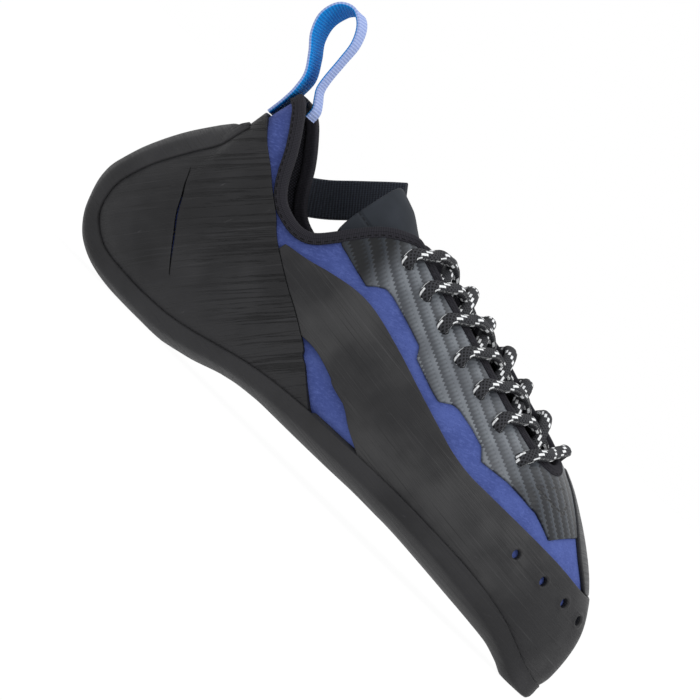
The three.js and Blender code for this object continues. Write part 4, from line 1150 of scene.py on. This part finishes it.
def cord():
    """Black braid with groups of short white flecks that wind round it."""
    look = Look("lace_cord", linear(30, 31, 34), 0.75)
    u, v, _ = look.split(look.uv())
    girth_mm = math.pi * (LACE_WIDTH + LACE_HEIGHT) / 2
    right = look.ripple(look.math("MULTIPLY_ADD", v, 0.9, u), 1.5)
    left = look.ripple(look.math("MULTIPLY_ADD", v, -0.9, u), 1.5)
    braid = look.math("MAXIMUM", right, left)
    black = look.mix(look.span(braid, 0.3, 0.95), linear(14, 14, 16), linear(50, 51, 55))
    started = look.math("ADD", u, -FLECK_START)
    row = girth_mm / FLECK_ROWS
    strand_start = look.math("SNAP", v, row)
    winding = look.math("MULTIPLY_ADD", strand_start, 2 * FLECK_PITCH / girth_mm, started)
    group = look.band(look.part(winding, FLECK_PITCH), *FLECK_SHARE, 0.015)
    knots = look.span(look.ripple(u, 1.0), 0.0, 0.2, 0.75, 1.0)
    fleck = look.times(group, look.band(look.part(v, row), 0.08, 0.76, 0.08))
    fleck = look.times(fleck, knots)
    look.colour(look.mix(fleck, black, linear(226, 228, 230)))
    braided = look.bump(braid, 0.3, 0.9)
    look.bump(fleck, 0.12, 0.5, braided)
    look.set("Specular IOR Level", 0.2)
    return look.material


def loop_webbing():
    """Ribbed webbing, bright blue on its outer face and lavender on its reverse."""
    look = Look("loop_webbing", linear(0, 128, 205), 0.75)
    u, v, _ = look.split(look.uv())
    ribs = look.ripple(u, 1.15)
    rows = look.ripple(v, 1.0)
    woven = look.math("MULTIPLY_ADD", ribs, 0.7, look.times(rows, 0.3))
    front = look.mix(woven, linear(0, 96, 170), linear(8, 140, 214))
    back = look.mix(woven, linear(120, 138, 190), linear(158, 174, 214))
    look.colour(look.mix(look.band(v, LOOP_FACE, 2 * LOOP_FACE + 1.0, 0.15), back, front))
    look.bump(woven, 0.22, 0.8)
    look.set("Specular IOR Level", 0.2)
    return look.material


def elastic():
    """Ribbed elastic. The ribs' relief is in the mesh, their colours are here."""
    look = Look("strap_elastic", linear(30, 34, 43), 0.7)
    u, v, _ = look.split(look.uv())
    rows = look.ripple(v, 0.7)
    ribs = look.ripple(u, RIB_PITCH)
    woven = look.math("MULTIPLY_ADD", ribs, 0.7, look.times(rows, 0.3))
    look.colour(look.mix(woven, linear(24, 27, 34), linear(62, 67, 77)))
    look.bump(rows, 0.1, 0.6)
    look.set("Specular IOR Level", 0.25)
    return look.material


def board():
    look = Look("board", linear(118, 112, 104), 0.9)
    look.bump(look.noise(look.place(), 1.2, 4.0, 0.6), 0.08, 0.5)
    return look.material


SUEDE = suede()
LINING = cloth("lining", (56, 56, 63), 0.9)
HEEL_RUBBER = rubber("heel_rubber", 50, (38, 38, 40), (24, 24, 26), 0.55, wrinkles=True)
SIDE_RUBBER = rubber("side_rubber", -7, (52, 52, 53), (30, 30, 32), 0.5, dust=True)
SOLE_RUBBER = rubber("sole_rubber", -6, (42, 42, 44), (30, 30, 32), 0.6, line_highlight=5)
PATCH_RUBBER = rubber("patch_rubber", 30, (32, 33, 37), (22, 23, 26), 0.42)
PRINT = overlay()
TAPE_CLOTH = binding_tape()
TONGUE_CLOTH = tongue_cloth()
BOARD = board()
CORD = cord()
LOOP = loop_webbing()
ELASTIC = elastic()


# Pieces

def upper():
    net = Net(rings=190, around=150)
    wall = net.plain("wall", np.minimum(-way_in(net), WALL_LIMIT))
    plan = foot_plan(LASTING_MARGIN, start=0.11, end=0.93)
    base = under_half(net, net.add("base", top_field(net, plan)))
    net.plain("wall", np.minimum(wall, -base))
    holes = punched(net, EYELETS, EYELET_DIAMETER / 2)
    net.plain("wall", np.minimum(net.fields["wall"], holes))
    low = net.shaped("wall", rim=0.6, depth=0.5)
    piece = shell("upper_suede", net, -low, -WALL + low, SUEDE, LINING)
    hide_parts("upper")


def sole_reach(normal):
    down = smooth((-normal[..., 2] - 0.3) / 0.55)
    back = smooth((-normal[..., 0] - 0.25) / 0.55)
    side = EDGE_OUT + (BACK_OUT - EDGE_OUT) * back
    return side + (UNDER_OUT - side) * down


def outsole():
    net = Net(rings=270, around=200, reach=sole_reach)
    heel, toe = heel_region(net), toe_region(net)
    net.plain("rands", np.maximum(heel, toe) + GAP)
    net.plain("piece", sole_region(net))
    low = net.shaped("piece", rim=0.4, depth=0.25)
    inner = np.where(net.fields["rands"] > 0, RAND_OUT + 0.1, GAP)
    full = sole_reach(normals(net.share, net.turn))
    t = np.clip(net.fields["piece"] / SOLE_BEVEL, 0, 1)
    thin = EDGE_OUT + (full - EDGE_OUT) * np.sin(t * math.pi / 2)
    outer = np.maximum(thin - low, inner + 0.3)
    piece = shell("outsole_rubber", net, outer, inner, SOLE_RUBBER)
    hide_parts("outsole")


def insole():
    net = Net(rings=110, around=90)
    plan = net.add("plan", top_field(net, foot_plan(INSOLE_MARGIN, start=0.06, end=0.965)))
    net.plain("piece", under_half(net, plan))
    net.trim("piece", rim=0.8)
    net.weld()
    flat = np.zeros(len(net.share))
    piece = shell("insole_board", net, flat + INSOLE_OUT, flat + INSOLE_IN, BOARD)
    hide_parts("insole")


def tongue():
    net = Net(rings=200, around=200, start=0.28, end=0.86, reach=TONGUE_OUT)
    foot = [(at * LENGTH, up * height_at(at)) for at, up in TONGUE_FOOT]
    polygon = [*side_line(TONGUE_EDGE), *foot, (foot[-1][0], FAR)]
    net.plain("piece", upper_half(net, net.add("plan", side_field(net, polygon))))
    low = net.shaped("piece", rim=1.1, depth=1.0)
    piece = shell("tongue_cloth", net, TONGUE_OUT - low, TONGUE_IN + low, TONGUE_CLOTH)
    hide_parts("tongue")


def heel_rand():
    net = Net(rings=215, around=175, start=0.0, end=0.56, reach=RAND_OUT)
    net.plain("piece", heel_region(net))
    net.plain("front", net.fields["piece"])
    for radius in (3.0, 1.8):
        point = surface(net.share, net.turn)
        net.refine_where((slit_distance(point) < radius) & (net.turn < 0.25))
    slit = np.where(net.turn < 0.25, slit_distance(surface(net.share, net.turn)), FAR)
    net.plain("piece", np.minimum(net.fields["piece"], slit))
    low = net.shaped("piece", rim=0.45, depth=0.4)
    inner = np.full(len(low), GAP)
    piece = shell("heel_rand_rubber", net, RAND_OUT - low, inner, HEEL_RUBBER, marks=["front"])
    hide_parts("heel_rand")


def slit_distance(point):
    """Distance from the tension slit, which opens a little in its middle."""
    x, z = point[:, 0], point[:, 2]
    best = np.full(len(x), 1e9)
    last = len(SLIT_LINE) - 1
    for i in range(last):
        (ax, az), (bx, bz) = SLIT_LINE[i], SLIT_LINE[i + 1]
        dx, dz = bx - ax, bz - az
        t = np.clip(((x - ax) * dx + (z - az) * dz) / (dx ** 2 + dz ** 2), 0, 1)
        open_here = SLIT_WIDTH / 2 * (0.15 + 0.45 * math.sin(math.pi * (i + 0.5) / last))
        best = np.minimum(best, np.hypot(x - ax - t * dx, z - az - t * dz) - open_here)
    return best


def toe_rand():
    net = Net(rings=250, around=180, start=0.24, end=1.0, reach=RAND_OUT)
    net.plain("piece", toe_region(net))
    net.plain("seam", sole_region(net))
    holes = punched(net, VENT_PLACES, VENT_DIAMETER / 2)
    net.plain("vents", holes)
    net.plain("piece", np.minimum(net.fields["piece"], holes))
    low = net.shaped("piece", rim=0.5, depth=0.45)
    lip = 0.4 * np.exp(-((net.fields["vents"] - 0.8) / 0.7) ** 2)
    outer, inner = RAND_OUT - low + lip, np.full(len(low), GAP)
    piece = shell("toe_rand_rubber", net, outer, inner, SIDE_RUBBER, marks=["seam"])
    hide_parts("toe_rand")


def toe_patch():
    net = Net(rings=150, around=200, start=0.74, end=1.0, reach=GAP + PATCH)
    net.plain("piece", patch_region(net))
    low = net.shaped("piece", rim=0.7, depth=0.6)
    piece = shell("toe_patch_rubber", net, GAP + PATCH - low, np.full(len(low), GAP), PATCH_RUBBER)
    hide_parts("toe_patch")


def eyestay():
    net = Net(rings=230, around=200, start=0.28, end=0.92, reach=GAP + OVERLAY)
    edge = [(at * LENGTH, up * height_at(at)) for at, up in EYESTAY_EDGE]
    region = net.add("region", side_field(net, [(edge[0][0], FAR), *edge, (edge[-1][0], FAR)]))
    band = -way_in(net) - BINDING + 0.7
    net.plain("piece", np.minimum(np.minimum(upper_half(net, region), band), -patch_region(net) - GAP))
    holes = punched(net, EYELETS, EYELET_DIAMETER / 2)
    net.plain("piece", np.minimum(net.fields["piece"], holes))
    low = net.shaped("piece", rim=0.5, depth=0.5)
    piece = shell("eyestay_overlay", net, GAP + OVERLAY - low, np.full(len(low), 0.05), PRINT)
    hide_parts("eyestay")


# Binding

EDGE_STEP = 1.1  # mm between places along the edge


def edge_places():
    """The edge of the way in as an even, smoothed loop of shares and turns."""
    net = Net(rings=300, around=260)
    net.plain("wall", np.minimum(-way_in(net), WALL_LIMIT))
    net.cut("wall", 0.0)
    net.keep("wall")
    net.weld()
    loops = chained(boundary(net.tri))
    loop = max(loops, key=len)
    point = surface(net.share[loop], net.turn[loop])
    closed = np.vstack([point, point[:1]])
    lengths = travelled(closed)
    count = int(lengths[-1] / EDGE_STEP)
    wanted = np.linspace(0, lengths[-1], count, endpoint=False)
    share = np.interp(wanted, lengths, np.append(net.share[loop], net.share[loop[0]]))
    turn = np.interp(wanted, lengths, np.append(net.turn[loop], net.turn[loop[0]]))
    for _ in range(6):
        share = (np.roll(share, 1) + 2 * share + np.roll(share, -1)) / 4
        turn = (np.roll(turn, 1) + 2 * turn + np.roll(turn, -1)) / 4
    return share, turn


def chained(edges):
    """Closed loops of vertex numbers from directed edges."""
    following = dict(zip(edges[:, 0].tolist(), edges[:, 1].tolist()))
    loops = []
    while following:
        start, here = following.popitem()
        loop = [start]
        while here != start:
            loop.append(here)
            here = following.pop(here)
        loops.append(np.array(loop))
    return loops


def ring_faces(a, b, c, d):
    """Triangles between neighbouring rings. a, b: numbers of a point and of the next one round its
    ring. c, d: the same on the following ring."""
    a, b, c, d = a.ravel(), b.ravel(), c.ravel(), d.ravel()
    return np.concatenate([np.stack([a, b, d], -1), np.stack([a, d, c], -1)])


def swept_ring(share, turn, corners):
    """Ring of section points over the edge loop. corners: (into the wall, reach) in mm."""
    here = surface(share, turn)
    along = unit(np.roll(here, -1, axis=0) - np.roll(here, 1, axis=0))
    normal = normals(share, turn)
    into = unit(np.cross(normal, along))
    columns = []
    for distance, reach in corners:
        s, t = walked(share, turn, into, distance)
        columns.append(surface(s, t) + normals(s, t) * reach)
    points = np.stack(columns, 1)
    count, size = points.shape[:2]
    index = np.arange(count * size).reshape(count, size)
    a, b = index, np.roll(index, -1, axis=1)
    c, d = np.roll(index, -1, axis=0), np.roll(b, -1, axis=0)
    return points.reshape(-1, 3), ring_faces(a, b, c, d), count


def fold_section():
    """Section of the tape: outer leaf, round fold over the edge, inner leaf, back inside. Each
    point: mm into the wall from its edge, mm above the last's surface."""
    outer, inner = TAPE_OUT, TAPE_IN
    middle, half = (outer + inner) / 2, (outer - inner) / 2
    fold = [(-0.2 - 1.2 * math.sin(a), middle + half * math.cos(a))
            for a in np.linspace(0.25, math.pi - 0.25, 9)]
    wall_middle, wall_half = (GAP + TAPE_LINING) / 2, (GAP - TAPE_LINING) / 2
    under = [(0.2 - 0.4 * math.sin(a), wall_middle + wall_half * math.cos(a))
             for a in np.linspace(math.pi - 0.3, 0.3, 5)]
    return [
        (BINDING, 0.45), (BINDING + 0.15, 0.9), (BINDING - 0.1, outer - 0.2), (BINDING - 0.6, outer),
        (BINDING - 1.4, outer - 0.15), (BINDING - 2.4, outer + 0.1), (1.2, outer + 0.15), (0.4, outer),
        *fold,
        (0.4, inner), (2.0, inner), (BINDING - 0.5, inner), (BINDING, inner + 0.4),
        (BINDING, TAPE_LINING), (1.0, TAPE_LINING), *under, (1.0, 0.35),
    ]


def collar_binding(places):
    share, turn = places
    corners = fold_section()
    points, faces, count = swept_ring(share, turn, corners)
    step = np.repeat(np.arange(count) * EDGE_STEP, len(corners))
    across = np.tile(travelled(np.array(corners)), count)
    uv = np.stack([step, across], -1)
    piece = mesh_object("collar_binding_tape", points, faces, TAPE_CLOTH, uv=uv)
    fix_normals(piece)
    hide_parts("collar_binding")


def fix_normals(piece):
    """Turns the faces outward."""
    work = bmesh.new()
    work.from_mesh(piece.data)
    bmesh.ops.recalc_face_normals(work, faces=work.faces)
    work.to_mesh(piece.data)
    work.free()


# Lace

def swept(path, across, profile):
    """Closed piece with one section along a path, in triangles. across: width direction at each
    point. Also gives the distance along the path and round the section of every point."""
    along = unit(np.gradient(path, axis=0))
    side = unit(across - (across * along).sum(-1, keepdims=True) * along)
    up = np.cross(along, side)
    ring = profile[None, :, :1] * side[:, None] + profile[None, :, 1:] * up[:, None]
    points = (path[:, None] + ring).reshape(-1, 3)
    count, size = len(path), len(profile)
    index = np.arange(count * size).reshape(count, size)
    a, b = index[:-1], np.roll(index[:-1], -1, axis=1)
    c, d = index[1:], np.roll(index[1:], -1, axis=1)
    walls = ring_faces(a, b, c, d)
    first, last = count * size, count * size + 1
    ends = np.concatenate([
        np.stack([b[0], a[0], np.full(size, first)], -1),
        np.stack([c[-1], d[-1], np.full(size, last)], -1),
    ])
    points = np.concatenate([points, path[:1], path[-1:]])
    step = travelled(path)
    uv = np.stack([np.repeat(step, size), np.tile(travelled(profile), count)], -1)
    uv = np.concatenate([uv, [[step[0], 0], [step[-1], 0]]])
    return points, np.concatenate([walls, ends]), uv


def oval(width, height, sides=18):
    angle = np.linspace(0, 2 * np.pi, sides, endpoint=False)
    return np.stack([np.cos(angle) * width / 2, np.sin(angle) * height / 2], -1)


def throat_y(share, outer_side):
    """How far across the foot the throat's edge lies on one side."""
    x = section(share)["x"]
    line = THROAT_LINE[THROAT_LINE[:, 1] < 0] if outer_side else THROAT_LINE[THROAT_LINE[:, 1] > 0]
    order = np.argsort(line[:, 0])
    return float(np.interp(x, line[order, 0], line[order, 1]))


def lifted(share, turn, lift):
    share, turn = np.asarray(share, float), np.asarray(turn, float)
    return surface(share, turn) + normals(share, turn) * np.asarray(lift)[..., None]


def strand(row, outer_side):
    """Path of one strand from its eyelet over the edge and down under the far edge."""
    following = row + 1
    start, start_turn = eyelet(row, outer_side)
    goal, _ = eyelet(following, not outer_side)
    sign = 1.0 if outer_side else -1.0
    leave = start + (goal - start) * 0.18
    near, far = throat_y(leave, outer_side), throat_y(goal, not outer_side)
    over = outer_side == (row % 2 == 0)
    high = 0.9 if over else 0.0
    top = TAPE_OUT + LACE_HEIGHT / 2 + 0.2
    edge_turn = float(turn_across(leave, near))
    back = start - LACE_BULGE / LAST_LENGTH
    quarter = start_turn + (edge_turn - start_turn) * 0.25
    places = [  # share, turn, lift above the last's surface in mm
        (start, start_turn, UNDER_EYELET),
        (start, start_turn, AT_EYELET),
        (back + 0.4 / LAST_LENGTH, start_turn - sign * 0.002, 1.9),
        (back, quarter, top),
        (start + (leave - start) * 0.6, start_turn + (edge_turn - start_turn) * 0.7, top + 0.2),
        (leave, edge_turn, top),
        (leave + (goal - leave) * 0.15, float(turn_across(leave, near + sign * 4.0)), top - 0.6 + high),
        ((leave + goal) / 2, float(turn_across((leave + goal) / 2, (near + far) / 2)), 0.2 + 2.2 * high),
        (leave + (goal - leave) * 0.85, float(turn_across(goal, far - sign * 5.0)), -1.2),
        (goal, float(turn_across(goal, far - sign * 1.0)), -3.2),
        (goal, float(turn_across(goal, far + sign * 4.0)), -3.9),
    ]
    return spline(lifted(*np.array(places).T), PATH_STEP)


def last_bar():
    """Path of the last row: from the outer eyelet over both edges to the inner eyelet."""
    share, outer_turn = eyelet(EYELET_ROWS - 1, True)
    _, inner_turn = eyelet(EYELET_ROWS - 1, False)
    near, far = throat_y(share, True), throat_y(share, False)
    near_turn, far_turn = float(turn_across(share, near)), float(turn_across(share, far))
    ahead = share + BAR_AHEAD / LAST_LENGTH
    beside = share + BAR_BULGE / LAST_LENGTH
    top = TAPE_OUT + LACE_HEIGHT / 2 + 0.2
    places = [  # share, turn, lift above the last's surface in mm
        (share, outer_turn, UNDER_EYELET),
        (share, outer_turn, AT_EYELET),
        (share, outer_turn * 0.9 + near_turn * 0.1, 2.0),
        (beside, outer_turn * 0.5 + near_turn * 0.5, top + 0.2),
        (ahead, near_turn, top + 0.3),
        (ahead, near_turn * 0.5 + far_turn * 0.5, top - 1.2),
        (ahead, far_turn, top + 0.5),
        (beside, inner_turn * 0.5 + far_turn * 0.5, top + 0.4),
        (share, inner_turn * 0.9 + far_turn * 0.1, 2.0),
        (share, inner_turn, AT_EYELET),
        (share, inner_turn, UNDER_EYELET),
    ]
    return spline(lifted(*np.array(places).T), PATH_STEP)


def laces():
    paths = [strand(row, side) for row in range(EYELET_ROWS - 1) for side in (True, False)]
    paths.append(last_bar())
    profile = oval(LACE_WIDTH, LACE_HEIGHT)
    points, faces, uv = [], [], []
    total = 0
    for path in paths:
        across = np.tile(np.array([1.0, 0.0, 0.0]), (len(path), 1))
        p, f, places = swept(path, across, profile)
        points.append(p)
        faces.append(f + total)
        uv.append(places)
        total += len(p)
    piece = mesh_object("lace_cord", np.concatenate(points), np.concatenate(faces), CORD,
                        uv=np.concatenate(uv), smooth_angle=80)
    fix_normals(piece)
    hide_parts("lace")
    print("lace shown, mm:", round(sum(travelled(path)[-1] for path in paths)))


# Webbing

def flat_profile(width, thickness, columns=20):
    """Section of a flat tape with rounded edges."""
    half = thickness / 2
    flat = width / 2 - 0.5
    upper_side = [(u * flat, half) for u in np.linspace(1, -1, columns)]
    left = [(-width / 2 + 0.15, half * 0.7), (-width / 2, 0.0), (-width / 2 + 0.15, -half * 0.7)]
    lower_side = [(u * flat, -half) for u in np.linspace(-1, 1, columns)]
    right = [(width / 2 - 0.15, -half * 0.7), (width / 2, 0.0), (width / 2 - 0.15, half * 0.7)]
    return np.array(upper_side + left + lower_side + right)


def pull_loop():
    table = np.array(PULL_LOOP)
    x, z, turn = table[:, 0] * LENGTH, table[:, 1] * HEEL_HEIGHT, table[:, 2]
    line = spline(np.stack([x, np.zeros(len(table)), z, turn], -1), PATH_STEP)
    path = line[:, :3]
    angle = np.radians(line[:, 3])
    across = np.stack([-np.sin(angle), np.cos(angle), np.zeros(len(angle))], -1)
    p, faces, uv = swept(path, across, flat_profile(WEBBING, WEBBING_THICKNESS))
    piece = mesh_object("heel_pull_loop_webbing", p, faces, LOOP, uv=uv)
    fix_normals(piece)
    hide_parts("heel_pull_loop")


def tongue_strap():
    table = np.array(STRAP)
    x, y, z = table[:, 0] * LENGTH, table[:, 2] * HEEL_WIDTH, table[:, 1] * HEEL_HEIGHT
    line = spline(np.stack([x, y, z], -1), STRAP_STEP)
    along = unit(np.gradient(line, axis=0))
    across = np.cross(along, np.array([0.0, 1.0, 0.0]))
    ribs = RIB_DEPTH * np.abs(np.sin(np.arange(len(line)) * STRAP_STEP * math.pi / RIB_PITCH))
    profile = flat_profile(WEBBING, WEBBING_THICKNESS)
    p, faces, uv = swept(line, across, profile)
    face = unit(np.cross(along, across))
    side = np.tile(np.sign(profile[:, 1]), len(line))
    p[:-2] += np.repeat(face * ribs[:, None], len(profile), axis=0) * side[:, None]
    piece = mesh_object("tongue_strap_elastic", p, faces, ELASTIC, uv=uv)
    fix_normals(piece)
    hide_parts("tongue_strap")


upper()
outsole()
insole()
tongue()
heel_rand()
toe_rand()
toe_patch()
eyestay()
collar_binding(edge_places())
laces()
pull_loop()
tongue_strap()


# Stage, lights and camera

PHOTO_SIZE = 700  # px
PHOTO_SCALE = 0.37009  # mm in the shoe for one px
PHOTO_ROLL = 44.4  # degrees that the toe points down
PHOTO_X0 = 194.65  # px along the shoe to the heel's back
PHOTO_Z0 = -131.24  # px above the floor line
AZIMUTH = 10.0  # degrees
ELEVATION = 1.5  # degrees
CAMERA_DISTANCE = 3500.0  # mm
SENSOR = 36.0  # mm
FLOOR_HALF = 6.0  # m


def floor():
    mesh = bpy.data.meshes.new("floor")
    half = FLOOR_HALF
    corners = [(-half, -half, 0), (half, -half, 0), (half, half, 0), (-half, half, 0)]
    mesh.from_pydata(corners, [], [(0, 1, 2, 3)])
    look = Look("floor", (0.04, 0.04, 0.04, 1.0), 0.9)
    look.set("Specular IOR Level", 0.0)
    look.set("Emission Color", (1, 1, 1, 1))
    look.set("Emission Strength", 0.97)
    mesh.materials.append(look.material)
    made = bpy.data.objects.new("floor", mesh)
    put_in_scene(made)


def area_light(name, place, target, size, power):
    """White lamp that faces a target. place, target, size: m. power: W."""
    data = bpy.data.lights.new(name, "AREA")
    data.shape = "RECTANGLE"
    data.size, data.size_y = size
    data.energy = power
    made = bpy.data.objects.new(name, data)
    made.location = place
    made.rotation_mode = "QUATERNION"
    made.rotation_quaternion = (Vector(target) - Vector(place)).to_track_quat("-Z", "Y")
    put_in_scene(made)


def lights():
    world = bpy.data.worlds.new("studio")
    bpy.context.scene.world = world
    world.use_nodes = True
    world.node_tree.nodes["Background"].inputs["Color"].default_value = (1, 1, 1, 1)
    world.node_tree.nodes["Background"].inputs["Strength"].default_value = 1.0
    middle = (0.08, 0, 0.05)
    area_light("key", (0.9, -0.7, 1.0), middle, size=(0.7, 0.7), power=7)
    area_light("left", (-0.9, -0.9, 0.6), middle, size=(0.6, 0.6), power=1)
    area_light("top", (0.2, 0.2, 1.4), middle, size=(1.0, 1.0), power=4)


def camera():
    """Camera at the photo's angle to the shoe, rolled so that the toe points down to the right."""
    a, e = math.radians(AZIMUTH), math.radians(ELEVATION)
    back = Vector((math.sin(a) * math.cos(e), -math.cos(a) * math.cos(e), math.sin(e)))
    right = Vector((math.cos(a), math.sin(a), 0))
    up = back.cross(right)
    middle_px = PHOTO_SIZE / 2
    roll = math.radians(PHOTO_ROLL)
    along_px = middle_px * math.cos(roll) + middle_px * math.sin(roll) - PHOTO_X0
    above_px = middle_px * math.sin(roll) - middle_px * math.cos(roll) - PHOTO_Z0
    x, z = along_px * PHOTO_SCALE, above_px * PHOTO_SCALE
    aim = Vector(((x / math.cos(a) - REST_X) * MM, 0, z * MM))
    data = bpy.data.cameras.new("camera")
    made = bpy.data.objects.new("camera", data)
    data.sensor_width = SENSOR
    data.lens = SENSOR * CAMERA_DISTANCE / (PHOTO_SIZE * PHOTO_SCALE)
    data.clip_start, data.clip_end = 0.05, 50
    turned_right = right * math.cos(roll) + up * math.sin(roll)
    turned_up = -right * math.sin(roll) + up * math.cos(roll)
    rotation = Matrix((turned_right, turned_up, back)).transposed()
    made.matrix_world = Matrix.Translation(aim + back * CAMERA_DISTANCE * MM) @ rotation.to_4x4()
    put_in_scene(made)
    bpy.context.scene.camera = made


floor()
lights()
camera()
bpy.context.scene.view_settings.view_transform = "Standard"
